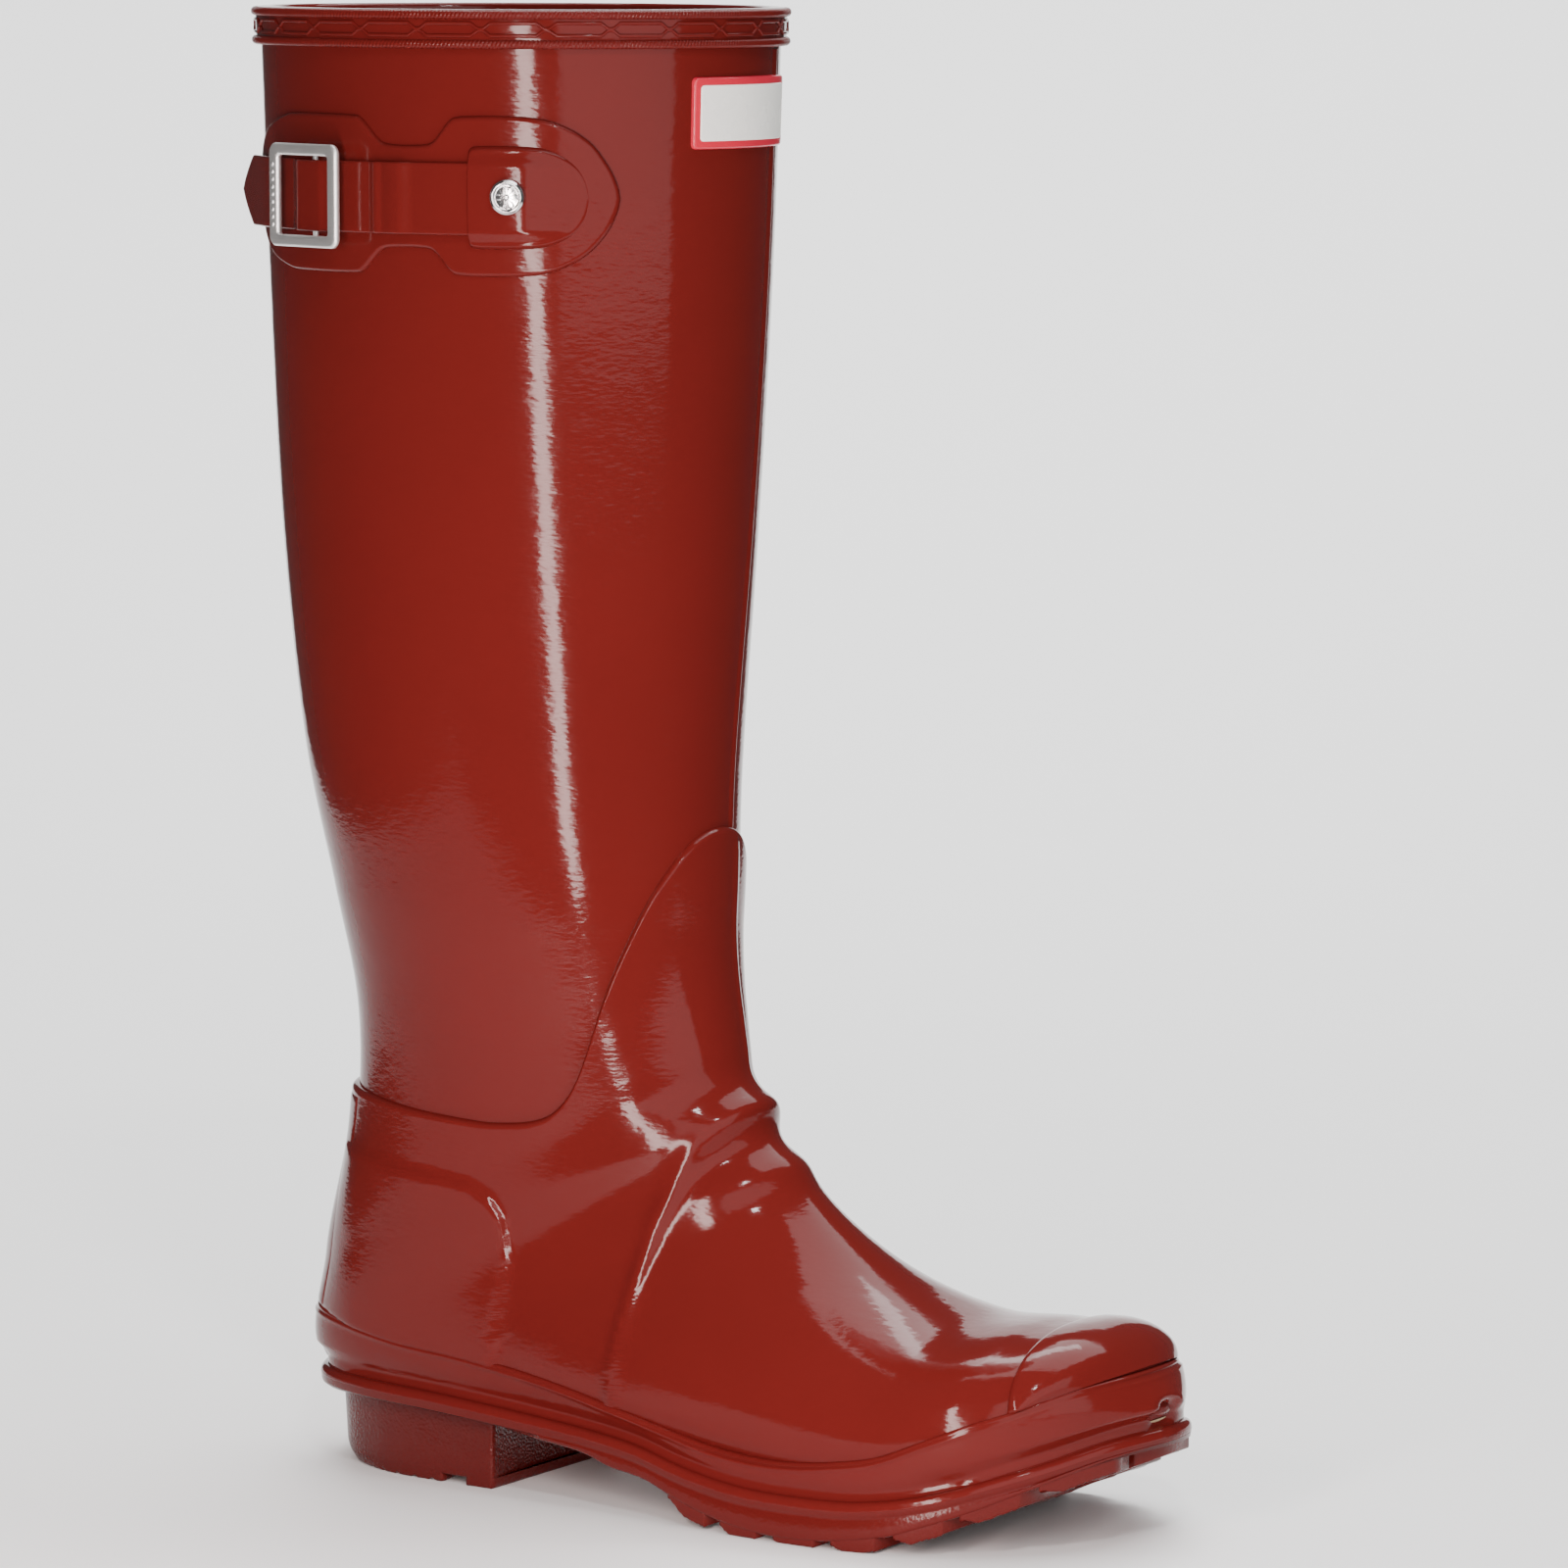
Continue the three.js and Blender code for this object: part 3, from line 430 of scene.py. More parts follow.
insole = {"from": 8.15, "to": 12.75, "halfTurn": 62.0, "rows": 160, "columns": 90, "low": 3.3, "thick": 2.6,
          "lipRadius": 2.5, "perDegree": 0.55, "perStation": 22}
insoleDegrees = np.linspace(-insole["halfTurn"], insole["halfTurn"], insole["columns"])[None]
insoleStation = np.linspace(insole["from"], insole["to"], insole["rows"])[:, None]
# rough distance in from the nearest edge, in millimetres
fromSide = (insole["halfTurn"] - np.abs(insoleDegrees)) * insole["perDegree"]
fromEnd = np.minimum(insoleStation - insole["from"], insole["to"] - insoleStation) * insole["perStation"]
insoleLift = -insole["low"] - insole["thick"] * lip(np.minimum(fromSide, fromEnd), insole["lipRadius"])
makeGrid("insoleBed", wallAt(insoleStation, pi + np.radians(insoleDegrees), insoleLift), material=footbed,
         stands=["insole"], slotName="cloth")
print("leg, lining and insole ready")

foot = {"columns": 400, "rows": 210, "lipRows": 12, "lipRadius": 1.5, "counterRise": 1.6, "counterWidth": 2.9,
        "vampRise": 1.3, "vampLow": 1.4, "vampWiden": 2.2, "foldRise": 1.5, "foldHalfTurn": 52,
        # station, width and size of each fold over the instep, above zero for a ridge
        "folds": [(7.35, 0.2, 1.0), (8.2, 0.22, 0.8), (7.78, 0.2, -0.7), (6.9, 0.22, -0.4)],
        "seamTurn": -8, "seamHalf": 1.6, "seamRise": 0.5, "stepIn": 2.5, "last": 13.97}
counterLine = np.array([[-140, 94], [-105, 91], [-77, 88], [-63, 86.4], [-51, 85.7], [-41, 84.3], [-35, 81],
                        [-32, 76.6], [-30.6, 70.7], [-29.8, 64.8], [-31, 56.5], [-32.5, 47], [-33, 36],
                        [-33, 10]])
vampLine = np.array([[40, 122], [25, 104.4], [18.5, 96], [14.7, 87.4], [11.5, 75], [10, 65], [8, 50],
                     [6.7, 35], [6, 10]])


# Raised shapes that show through the foot piece, in millimetres
def footRelief(point, station, turn):
    x, z = point[..., 0], point[..., 2]
    distance, side = lineDistance(point[..., [0, 2]], counterLine)
    half = foot["counterWidth"] / 2
    counter = smooth(-distance * side, -half, half) * smooth(x, -98, -80)
    distance, side = lineDistance(point[..., [0, 2]], vampLine)
    vamp = np.exp(-(distance / (foot["vampLow"] + foot["vampWiden"] * smooth(z, 30, 100))) ** 2)
    vamp = vamp * smooth(x, -20, 0) * (1 - smooth(x, 60, 95))
    degrees = np.degrees((turn + pi) % (2 * pi) - pi)
    front = np.exp(-(degrees / foot["foldHalfTurn"]) ** 2)
    folds = sum(size * np.exp(-((station - at) / width) ** 2) for at, width, size in foot["folds"])
    seam = np.exp(-((degrees - foot["seamTurn"]) / foot["seamHalf"]) ** 2) * (1 - smooth(station, 6.5, 7.4))
    return (foot["counterRise"] * counter + foot["vampRise"] * vamp + foot["foldRise"] * folds * front
            + foot["seamRise"] * seam)


footTurns = np.arange(foot["columns"]) * 2 * pi / foot["columns"]
footStart = stationWhere(overTop, footTurns, 2.5, 7.5)
# the first rows sit close together round the lip, the rest are even
lipShare = (1 - np.cos(np.linspace(0, pi / 2, foot["lipRows"]))) * 0.012
bodyShare = np.linspace(lipShare[-1], 1, foot["rows"] + 1)[1:]
footShare = np.concatenate([lipShare, bodyShare])[:, None]
footStation = footStart[None] + (foot["last"] - footStart[None]) * footShare
basePoints = formAt(footStation, footTurns[None])
# distance from the top edge, measured down each column
steps = np.linalg.norm(np.diff(basePoints, axis=0), axis=-1)
fromEdge = np.concatenate([np.zeros((1, foot["columns"])), np.cumsum(steps, axis=0)])
footOffset = form["footOut"] * lip(fromEdge, foot["lipRadius"]) + footRelief(
    basePoints, footStation, footTurns[None]) * smooth(fromEdge, 0.5, 6)
# below its top edge the foxing hides the foot piece, which steps in there
underLine = lineZ(foxingLine, basePoints[..., 0]) - basePoints[..., 2]
footOffset = footOffset - foot["stepIn"] * smooth(underLine, 0.4, 3.5)
footNormal = normalAt(footStation, footTurns[None])
footPoints = basePoints + footNormal * footOffset[..., None]
toeTip = np.broadcast_to(footPoints[-1].mean(0), footPoints[:1].shape)
footPoints = np.concatenate([basePoints[:1] - footNormal[:1] * 0.3, footPoints, toeTip])
makeGrid("footSkin", footPoints, wrapColumns=True, flip=True, material=glossRed, stands=["foot_upper"])
print("foot piece ready")

sole = {"points": 760, "lug": 3.6, "groove": 3.4, "heelFront": -36.0,
        "outline": [[-108.8, 0], [-106.5, -15], [-98, -27.5], [-80, -36], [-50, -39.5], [-20, -40], [10, -42],
                    [40, -45.5], [60, -47], [78, -47], [92, -45], [106, -40.5], [120, -33], [131, -24],
                    [140.5, -12], [147, 0], [150.3, 12], [148.2, 24], [141.5, 34.5], [130, 44], [115, 50],
                    [95, 52.5], [75, 51], [50, 46], [20, 41], [-10, 39], [-50, 39.5], [-80, 36.5], [-98, 28],
                    [-106.5, 15]]}


# Closed smooth loop through the corners, evenly spaced along its length
def roundLoop(corners, count):
    corners = np.asarray(corners, float)
    wrapped = np.concatenate([corners[-3:], corners, corners[:4]])
    keys = np.concatenate([[0], np.cumsum(np.sqrt(np.linalg.norm(np.diff(wrapped, axis=0), axis=-1)))])
    dense = curveThrough(keys, wrapped, np.linspace(keys[3], keys[3 + len(corners)], count * 4))
    along = np.concatenate([[0], np.cumsum(np.linalg.norm(np.diff(dense, axis=0), axis=-1))])
    even = np.linspace(0, along[-1], count + 1)[:-1]
    return np.stack([np.interp(even, along, dense[:, axis]) for axis in range(2)], -1)


# The closed loop moved inwards, square to its direction at each point
def inset(loop, distance):
    way = np.roll(loop, -1, 0) - np.roll(loop, 1, 0)
    way /= np.linalg.norm(way, axis=-1, keepdims=True)
    return loop + np.stack([-way[:, 1], way[:, 0]], -1) * distance


soleLoop = roundLoop(sole["outline"], sole["points"])

probeTurns = np.linspace(0, 2 * pi, 241)[:-1]
probeStation = np.linspace(6, foot["last"], 200)[:, None]
probe = wallAt(probeStation, probeTurns[None], np.full((200, 240), form["footOut"] - 0.1))
probeFaces = gridFaces(200, 240, wrapColumns=True, flip=True)
footTree = BVHTree.FromPolygons(probe.reshape(-1, 3).tolist(), probeFaces.tolist())


# How far a level ray runs from inside to the foot piece, or 30 mm where it meets nothing
def reachToFoot(origin, direction):
    hit = footTree.ray_cast(Vector(origin), Vector(direction))[0]
    return 30.0 if hit is None else np.linalg.norm(np.array(hit)[:2] - origin[:2])


foxing = {"columns": 560, "heelX": -74.0, "toeX": 104.0, "thick": 1.2, "lipRadius": 1.0, "fillet": 2.2,
          "ledge": 3.8, "bulge": 0.7, "roll": 2.1, "toeThick": 0.3, "toeBulge": 0.9, "backThin": 0.7,
          "bead": 0.55, "beadDown": 1.7, "beadHalf": 0.8, "spineRadius": 34.0, "smoothings": 3}


# Point and outward angle while going once round the foot, from the heel by the outer side: two straights
# joined by half circles, drawn in to the foot's middle line.
def spineAt(share):
    heel, toe, radius = foxing["heelX"], foxing["toeX"], foxing["spineRadius"]
    straight, quarter = toe - heel, pi * radius / 2
    at = share * (2 * straight + 2 * pi * radius)
    if at < quarter:
        x, angle = heel, pi + at / radius
    elif at < quarter + straight:
        x, angle = heel + at - quarter, 1.5 * pi
    elif at < 3 * quarter + straight:
        x, angle = toe, 1.5 * pi + (at - quarter - straight) / radius
    elif at < 3 * quarter + 2 * straight:
        x, angle = toe - (at - 3 * quarter - straight), 0.5 * pi
    else:
        x, angle = heel, 0.5 * pi + (at - 3 * quarter - 2 * straight) / radius
    return (x, 0.5 + 9 * float(smooth(np.array(x), -20, 110))), angle


# How far a level ray runs from inside a closed plan outline to its edge
def reachOf(loop, origin, direction):
    start, stop = loop, np.roll(loop, -1, 0)
    way = stop - start
    gap = start - origin
    turn = direction[0] * way[:, 1] - direction[1] * way[:, 0]
    turn = np.where(np.abs(turn) < 1e-9, 1e-9, turn)
    far = (gap[:, 0] * way[:, 1] - gap[:, 1] * way[:, 0]) / turn
    share = (gap[:, 0] * direction[1] - gap[:, 1] * direction[0]) / turn
    return far[(far > 0) & (share >= 0) & (share <= 1)].max()


# One upright row of points, from the rounded upper edge down the wall and out on to the welt
def foxingColumn(share):
    (x, y), angle = spineAt(share)
    direction = np.array([math.cos(angle), math.sin(angle)])
    heights = np.linspace(16, 50, 69)
    reach = np.array([reachToFoot((x, y, z), (*direction, 0)) for z in heights])
    above = heights - lineZ(foxingLine, x + direction[0] * reach)
    top = float(np.interp(0, above, heights))
    rim = float(np.interp(top, heights, reach))
    edge = reachOf(soleLoop, np.array([x, y]), direction)
    weltHeight = float(lineZ(weltLine, np.array([x + direction[0] * edge]))[0])
    foot = weltHeight + foxing["fillet"]
    toe = float(smooth(np.array(x + direction[0] * edge), 100, 140))
    back = float(smooth(np.array(-x - direction[0] * edge), 75, 104))
    thick = foxing["thick"] + foxing["toeThick"] * toe - foxing["backThin"] * back
    lipDown = (1 - np.cos(np.linspace(0, pi / 2, 10))) * foxing["lipRadius"] * 1.2
    wallZ = np.linspace(top - lipDown[-1], foot, 22)[1:]
    wall = (top - wallZ) / (top - foot)
    # from the rim to the welt's ledge with a bulge between, never inside the foot piece nor past the welt
    bulge = (foxing["bulge"] + foxing["toeBulge"] * toe) * (1 - back)
    wallReach = rim + thick + (edge - foxing["ledge"] - rim - thick) * wall + bulge * np.sin(wall * pi)
    wallReach = np.maximum(wallReach, np.interp(wallZ, heights, reach) + thick)
    wallReach = np.minimum(wallReach, edge - 1.9 + 6 * np.maximum(0, wallZ - foot - 2))
    wallReach = np.convolve(np.pad(wallReach, 2, mode="edge"), np.full(5, 0.2), "valid")
    bead = foxing["bead"] * (1 - toe) * (1 - 0.5 * back)
    wallReach = wallReach + bead * np.exp(-((top - wallZ - foxing["beadDown"]) / foxing["beadHalf"]) ** 2)
    # a hollow curve out on to the welt, then over its rolled edge
    curl = np.linspace(0, pi / 2, 9)[1:]
    roll = foxing["roll"]
    z = np.concatenate([[top], top - lipDown, wallZ, foot - foxing["fillet"] * np.sin(curl),
                        weltHeight - roll * (1 - np.cos(curl)), weltHeight - roll - np.array([0.2, 0.4, 0.5])])
    out = np.concatenate([[rim - 0.4], rim + thick * lip(lipDown, foxing["lipRadius"]), wallReach,
                          wallReach[-1] + (edge - roll - wallReach[-1]) * (1 - np.cos(curl)),
                          edge - roll * (1 - np.sin(curl)), edge + np.array([0.03, 0.03, -0.6])])
    return np.column_stack([x + direction[0] * out, y + direction[1] * out, z])


foxingPoints = np.array([foxingColumn(c / foxing["columns"]) for c in range(foxing["columns"])])
foxingPoints = foxingPoints.transpose(1, 0, 2)
for _ in range(foxing["smoothings"]):
    foxingPoints = (np.roll(foxingPoints, 1, 1) + 2 * foxingPoints + np.roll(foxingPoints, -1, 1)) / 4
makeGrid("foxingSkin", foxingPoints, wrapColumns=True, material=glossRed, stands=["foxing_strip"])

toeCap = {"halfTurn": 84.0, "columns": 220, "rows": 60, "rise": 1.35, "lipRadius": 1.6, "puff": 0.9,
          "fade": 0.3, "seam": 121.0, "seamBend": 0.0012, "seamMiddle": 10, "below": 0.8, "last": 13.95}
capTurns = np.radians(np.linspace(-toeCap["halfTurn"], toeCap["halfTurn"], toeCap["columns"]))


# Above zero in front of the cap's seam, a shallow parabola in plan
def pastSeam(point):
    return point[..., 0] - toeCap["seam"] - toeCap["seamBend"] * (point[..., 1] - toeCap["seamMiddle"]) ** 2


# Above zero below the foxing's upper line
def belowFoxing(point):
    return lineZ(foxingLine, point[..., 0]) - point[..., 2] - toeCap["below"]


capStart = stationWhere(pastSeam, capTurns, 9, toeCap["last"])
capStop = stationWhere(belowFoxing, capTurns, 9, toeCap["last"])
capStop = np.maximum(capStop, capStart + 0.02)
capShare = np.concatenate([(1 - np.cos(np.linspace(0, pi / 2, 12))) * 0.09,
                           np.linspace(0.09, 1, toeCap["rows"])[1:]])[:, None]
capStation = capStart[None] + (capStop - capStart)[None] * capShare
capBase = formAt(capStation, capTurns[None])
capSteps = np.concatenate([np.zeros((1, toeCap["columns"])),
                           np.cumsum(np.linalg.norm(np.diff(capBase, axis=0), axis=-1), axis=0)])
capLength = capSteps[-1:]
capFade = smooth(capLength, 1.0, 6.0)
capDown = np.clip(capSteps / np.maximum(capLength, 1), 0, 1)
capRise = toeCap["rise"] * lip(capSteps, toeCap["lipRadius"]) * (1 - toeCap["fade"] * smooth(capDown, 0.6, 1))
capOffset = form["footOut"] + (capRise + toeCap["puff"] * np.sin(capDown * pi)) * capFade
capNormal = normalAt(capStation, capTurns[None])
capPoints = capBase + capNormal * capOffset[..., None]
capPoints = np.concatenate([(capBase + capNormal * (form["footOut"] - 0.3))[:1], capPoints])
makeGrid("toeCapSkin", capPoints, flip=True, material=glossRed, stands=["toe_cap"])

backStrip = {"halfTurn": 43.0, "columns": 120, "rows": 140, "topZ": 103.0, "lowZ": 26.0, "low": 0.25,
             "rise": 0.55, "lipRadius": 2.4, "stepIn": 1.2, "perDegree": 0.58}
stripDegrees = np.linspace(-backStrip["halfTurn"], backStrip["halfTurn"], backStrip["columns"])
stripTurns = pi + np.radians(stripDegrees)
stripHeights = np.linspace(backStrip["topZ"], backStrip["lowZ"], backStrip["rows"])
stripGrid = np.zeros((backStrip["rows"], backStrip["columns"], 3))
stripOut = np.zeros_like(stripGrid)
for row, height in enumerate(stripHeights):
    station = stationWhere(lambda p: height - p[..., 2], stripTurns, 4, 9.2)
    stripGrid[row] = formAt(station, stripTurns)
    stripOut[row] = normalAt(station, stripTurns)
fromSide = (backStrip["halfTurn"] - np.abs(stripDegrees))[None] * backStrip["perDegree"]
fromTop = (backStrip["topZ"] - stripHeights)[:, None]
onFoxing = smooth(lineZ(foxingLine, stripGrid[..., 0]) + 0.6 - stripGrid[..., 2], 0, 2.2)
edgeLip = lip(np.minimum(fromSide, fromTop), backStrip["lipRadius"])
stripOffset = (form["footOut"] - backStrip["low"] - backStrip["stepIn"] * onFoxing
               + backStrip["rise"] * edgeLip)
makeGrid("backStripSkin", stripGrid + stripOut * stripOffset[..., None], material=glossRed,
         stands=["back_strip"])
print("strips ready")


# Height of the plate's underside: the sole line, and above the lugs in front of the heel
def plateAt(x):
    return lineZ(soleLine, x) + sole["lug"] * np.where(x > sole["heelFront"], smooth(x, 4, 22), 0)


soleX = soleLoop[:, 0]
weltZ = lineZ(weltLine, soleX)
plateZ = plateAt(soleX)
heelPart = (1 - smooth(soleX, -50, 10))[:, None]
# rings from under the foxing, over the welt's rolled edge, down the wall and in under the plate: distance in
# from the outline, the same added at the heel, and height
wallRings = [(9, 0, weltZ - 1.8), (2.0, 0, weltZ - 1.7), (0.6, 0, weltZ - 1.8), (0.08, 0, weltZ - 2.0),
             (0.03, 0, weltZ - 2.3), (0.02, 0.02, weltZ - 2.6), (0.12, 0.05, weltZ - 3.3),
             (0.4, -0.2, weltZ - 4.0), (0.62, -0.3, weltZ - 4.4), (0.35, 0.15, weltZ - 4.8),
             (0.2, 0.5, plateZ + (weltZ - plateZ) * 0.24), (0.2, 1.2, plateZ + 0.9),
             (0.35, 1.9, plateZ + 0.3), (0.9, 2.4, plateZ)]
rings = [np.column_stack([inset(soleLoop, distance + rounder * heelPart), height])
         for distance, rounder, height in wallRings]
# the underside closes on to a middle line
centreY = np.interp(soleX, [-120, 0, 60, 110, 160], [0, 0.5, 1.5, 7, 11])
base = rings[-1][:, :2]
centre = np.column_stack([np.clip(base[:, 0], -78, 118), centreY])
for pull in (0.12, 0.35, 0.6, 0.85, 1.0):
    inner = base + (centre - base) * pull
    rings.append(np.column_stack([inner, plateAt(inner[:, 0])]))
makeGrid("soleBody", np.array(rings), wrapColumns=True, material=soleRed, stands=["outsole"])


# The run of a loop's points that keep() accepts, in order
def clipLoop(loop, keep):
    flags = keep(loop)
    start = next((i for i in range(len(loop)) if flags[i] and not flags[i - 1]), 0)
    order = [(start + i) % len(loop) for i in range(len(loop))]
    return loop[[i for i in order if flags[i]]]


# Upright block over a closed outline, with rounded lower edges; bottom and top are heights at each point
def block(outline, bottom, top, bevel, between=0):
    count = len(outline)
    middle = outline.mean(0)
    layers = []
    low = bottom + bevel * 2
    inBetween = [(0, top + (low - top) * (k + 1) / (between + 1)) for k in range(between)]
    for distance, height in [(0, top), *inBetween, (0, low), (bevel * 0.3, bottom + bevel * 0.6),
                             (bevel, bottom + bevel * 0.12), (bevel * 2, bottom)]:
        shifted = inset(outline, distance) if distance else outline
        layers.append(np.column_stack([shifted, height]))
    points = np.concatenate(layers + [np.array([[*middle, float(np.mean(bottom))]])])
    faces = gridFaces(len(layers), count, wrapColumns=True).tolist()
    last = (len(layers) - 1) * count
    faces += [[last + i, last + (i + 1) % count, len(points) - 1] for i in range(count)]
    return points, faces


# One object from several lots of points and faces
def joinBlocks(name, blocks, **rest):
    points, faces, base = [], [], 0
    for corner, face in blocks:
        points.append(corner)
        faces += [[i + base for i in f] for f in face]
        base += len(corner)
    return makeObject(name, np.concatenate(points), faces, **rest)


lugs = {"starts": [27, 44, 62, 79.5, 97, 113.5, 130], "length": 13.6, "ramp": 2.4, "rampLength": 5.5,
        "ragged": 0.45, "middleY": 2, "bevel": 0.35}
lugLoop = inset(soleLoop, 0.5)
blocks = []
for start, side in [(start, side) for start in lugs["starts"] for side in (-1, 1)]:
    run = clipLoop(lugLoop, lambda p: (p[:, 0] > start) & (p[:, 0] < start + lugs["length"])
                   & ((p[:, 1] - lugs["middleY"]) * side > 0))
    if len(run) < 4:
        continue
    innerY = lugs["middleY"] + side * sole["groove"] / 2
    across = np.linspace(run[-1, 0], run[0, 0], 14)
    outline = np.concatenate([run, np.column_stack([across, np.full(14, innerY)])])
    x = outline[:, 0]
    bottom = lineZ(soleLine, x) + lugs["ramp"] * (1 - smooth(x, start, start + lugs["rampLength"]))
    bottom = bottom + lugs["ragged"] * np.abs(np.sin(x * 2.3) * np.sin(x * 3.7 + start))
    blocks.append(block(outline, np.maximum(bottom, 0), lineZ(soleLine, x) + sole["lug"] + 0.4, lugs["bevel"]))
joinBlocks("soleLugs", blocks, material=soleRed)

heel = {"inset": 6.6, "round": 6.5, "lean": 1.4, "hollow": 2.2, "top": 19.8, "slotTop": 2.8,
        "slotBack": -54.0, "slotFront": -46.0, "scallop": 0.5}
heelLoop = inset(soleLoop, heel["inset"])


# Plan outline of the heel behind an x, its front edge a shallow hollow arc, or between two x, both straight
def heelOutline(front, back=None):
    if back is None:
        run = clipLoop(heelLoop, lambda p: p[:, 0] < front)
        y = np.linspace(run[-1, 1], run[0, 1], 60)[1:-1]
        hollow = heel["hollow"] * (1 - (2 * (y - y.min()) / (y.max() - y.min()) - 1) ** 2)
        return np.concatenate([run, np.column_stack([front - hollow, y])])
    outer, inner = [clipLoop(heelLoop, lambda p: (p[:, 0] < front) & (p[:, 0] > back) & (p[:, 1] * side > 0))
                    for side in (-1, 1)]
    frontY = np.linspace(outer[-1, 1], inner[0, 1], 40)[1:-1]
    backY = np.linspace(inner[-1, 1], outer[0, 1], 40)[1:-1]
    return np.concatenate([outer, np.column_stack([np.full(38, front), frontY]), inner,
                           np.column_stack([np.full(38, back), backY])])


# The heel: an upright block on two low ones with a slot between, the rear one scalloped
def heelBlock():
    front = sole["heelFront"] - 1
    body = heelOutline(front)
    rear = heelOutline(heel["slotBack"])
    fore = heelOutline(front, heel["slotFront"])
    scallops = np.sin(rear[:, 0] * 0.95) - 0.55
    scallops = heel["scallop"] * smooth(scallops, 0, 0.3) * smooth(rear[:, 0], -88, -80)
    parts = [block(body, np.full(len(body), heel["slotTop"] - 0.5), np.full(len(body), heel["top"]), 0.3, 24),
             block(rear, scallops, np.full(len(rear), heel["slotTop"]), 0.4),
             block(fore, np.zeros(len(fore)), np.full(len(fore), heel["slotTop"]), 0.4)]
    # the back face leans forward on the way down and rounds under as a quarter circle
    r = heel["round"]
    for points, _ in parts:
        z = np.clip(points[:, 2], 0, heel["top"])
        under = r * (1 - np.sqrt(np.clip(1 - (np.clip(r - z, 0, r) / r) ** 2, 0, 1)))
        moved = under * 0.8 + heel["lean"] * (1 - z / heel["top"])
        points[:, 0] += smooth(-points[:, 0], 62, 104) * moved
    return parts


joinBlocks("heelBlockSkin", heelBlock(), material=grainRed, stands=["heel_block"])
print("sole ready")

band = {"columns": 2520, "beadRadius": 1.2, "tickCount": 420, "tickDepth": 0.2, "low": 389.8, "thick": 1.4,
        "lowBeadZ": 390.9, "topBeadZ": 398.6}
bandTurns = np.arange(band["columns"]) * 2 * pi / band["columns"]


# Points round the leg's wall at one height, level outwards by the offset
def ringAt(offset, height, ringTurns):
    point = legAt(np.minimum(height, form["topZ"] - 0.01), ringTurns, offset)
    point[..., 2] = height
    return point


# The same, with the step outwards of one millimetre at each point
def wallRing(offset, height, ringTurns):
    base = ringAt(offset, height, ringTurns)
    return base, ringAt(offset + 1, height, ringTurns) - base


# offset from the leg's wall and height, from the lower edge up over the rim and down inside
flatProfile = [(0.05, band["low"] - 0.1), (0.7, band["low"] - 0.1), (band["thick"] - 0.3, band["low"] + 0.2),
               (band["thick"], band["low"] + 0.8), (band["thick"], 393), (band["thick"], 396),
               (band["thick"], 398.8),
               (1.2, 399.4), (0.6, 399.85), (-0.4, 400), (-2.2, 400), (-3.0, 399.8), (-3.45, 399.2),
               (-3.5, 398.4), (-3.5, 397.4)]
smoothTurns = np.arange(480) * 2 * pi / 480
flatRing = np.array([ringAt(offset, height, smoothTurns) for offset, height in flatProfile])
makeGrid("bandSkin", flatRing, wrapColumns=True, material=glossRed, stands=["top_band"])


# Roped bead: a round ring whose radius ripples along slanting ticks
def bead(name, offset, height, radius):
    around = np.linspace(-0.62 * pi, 0.62 * pi, 15)[:, None]
    ripple = np.cos(band["tickCount"] * bandTurns[None] + around * 2.6)
    size = radius * (1 - band["tickDepth"] * np.clip(ripple - 0.1, 0, 1))
    base, outward = wallRing(offset, height, bandTurns)
    points = base[None] + outward[None] * (size * np.cos(around))[..., None]
    points[..., 2] = height + size * np.sin(around)
    makeGrid(name, points, wrapColumns=True, flip=True, material=glossRed)


bead("topBead", band["thick"] - 0.1, band["topBeadZ"], band["beadRadius"])
bead("lowBead", band["thick"] - 0.1, band["lowBeadZ"], band["beadRadius"])

chain = {"links": 26, "perLink": 40, "high": 1.65, "low": 0.12, "node": 0.0325, "slope": 0.12, "rib": 0.55,
         "lift": 0.6, "middle": 394.8}


# Height of a link's edge along it: closed at the ends, flat between
def chainWave(share):
    share = share % 1
    edge = np.minimum(share, 1 - share)
    t = np.clip((edge - chain["node"]) / chain["slope"], 0, 1)
    return chain["low"] + (chain["high"] - chain["low"]) * t


count = chain["links"] * chain["perLink"]
chainShare = np.arange(count) / chain["perLink"]
chainTurns = chainShare * 2 * pi / chain["links"]
across = np.linspace(0, pi, 7)[:, None]
chainParts = []
for sign in (1, -1):
    z = chain["middle"] + sign * chainWave(chainShare)
    base, outward = wallRing(band["thick"], chain["middle"], chainTurns)
    points = base[None] + outward[None] * (chain["lift"] * np.sin(across) - 0.05)[..., None]
    points[..., 2] = z[None] + chain["rib"] * np.cos(across)
    chainParts.append((points.reshape(-1, 3), gridFaces(7, count, wrapColumns=True).tolist()))
joinBlocks("chainRelief", chainParts, material=glossRed, stands=["rim_chain"])
print("band ready")

seam = {"half": 2.3, "rise": 0.55, "low": 176.0, "top": 389.0,
        # heights, and the turns in degrees that the seam passes there
        "keys": [170, 200, 290, 390], "turns": [-8, -9, -13, -15]}
seamHeights = np.linspace(seam["top"], seam["low"], 200)
seamAcross = np.linspace(-1, 1, 17)
seamTurnAt = curveThrough(seam["keys"], seam["turns"], seamHeights)
seamPoints = legAt(seamHeights[:, None], np.radians(seamTurnAt[:, None] + seamAcross[None] * seam["half"]),
                   seam["rise"] * np.cos(seamAcross * pi / 2)[None] ** 1.5 - 0.02)
makeGrid("frontSeamSkin", seamPoints, material=glossRed, stands=["front_seam"])

label = {"halfTurn": 20.9, "middle": 372.7, "height": 19.0, "side": 2.05, "margin": 2.1, "thick": 1.15,
         "perDegree": 1.03}


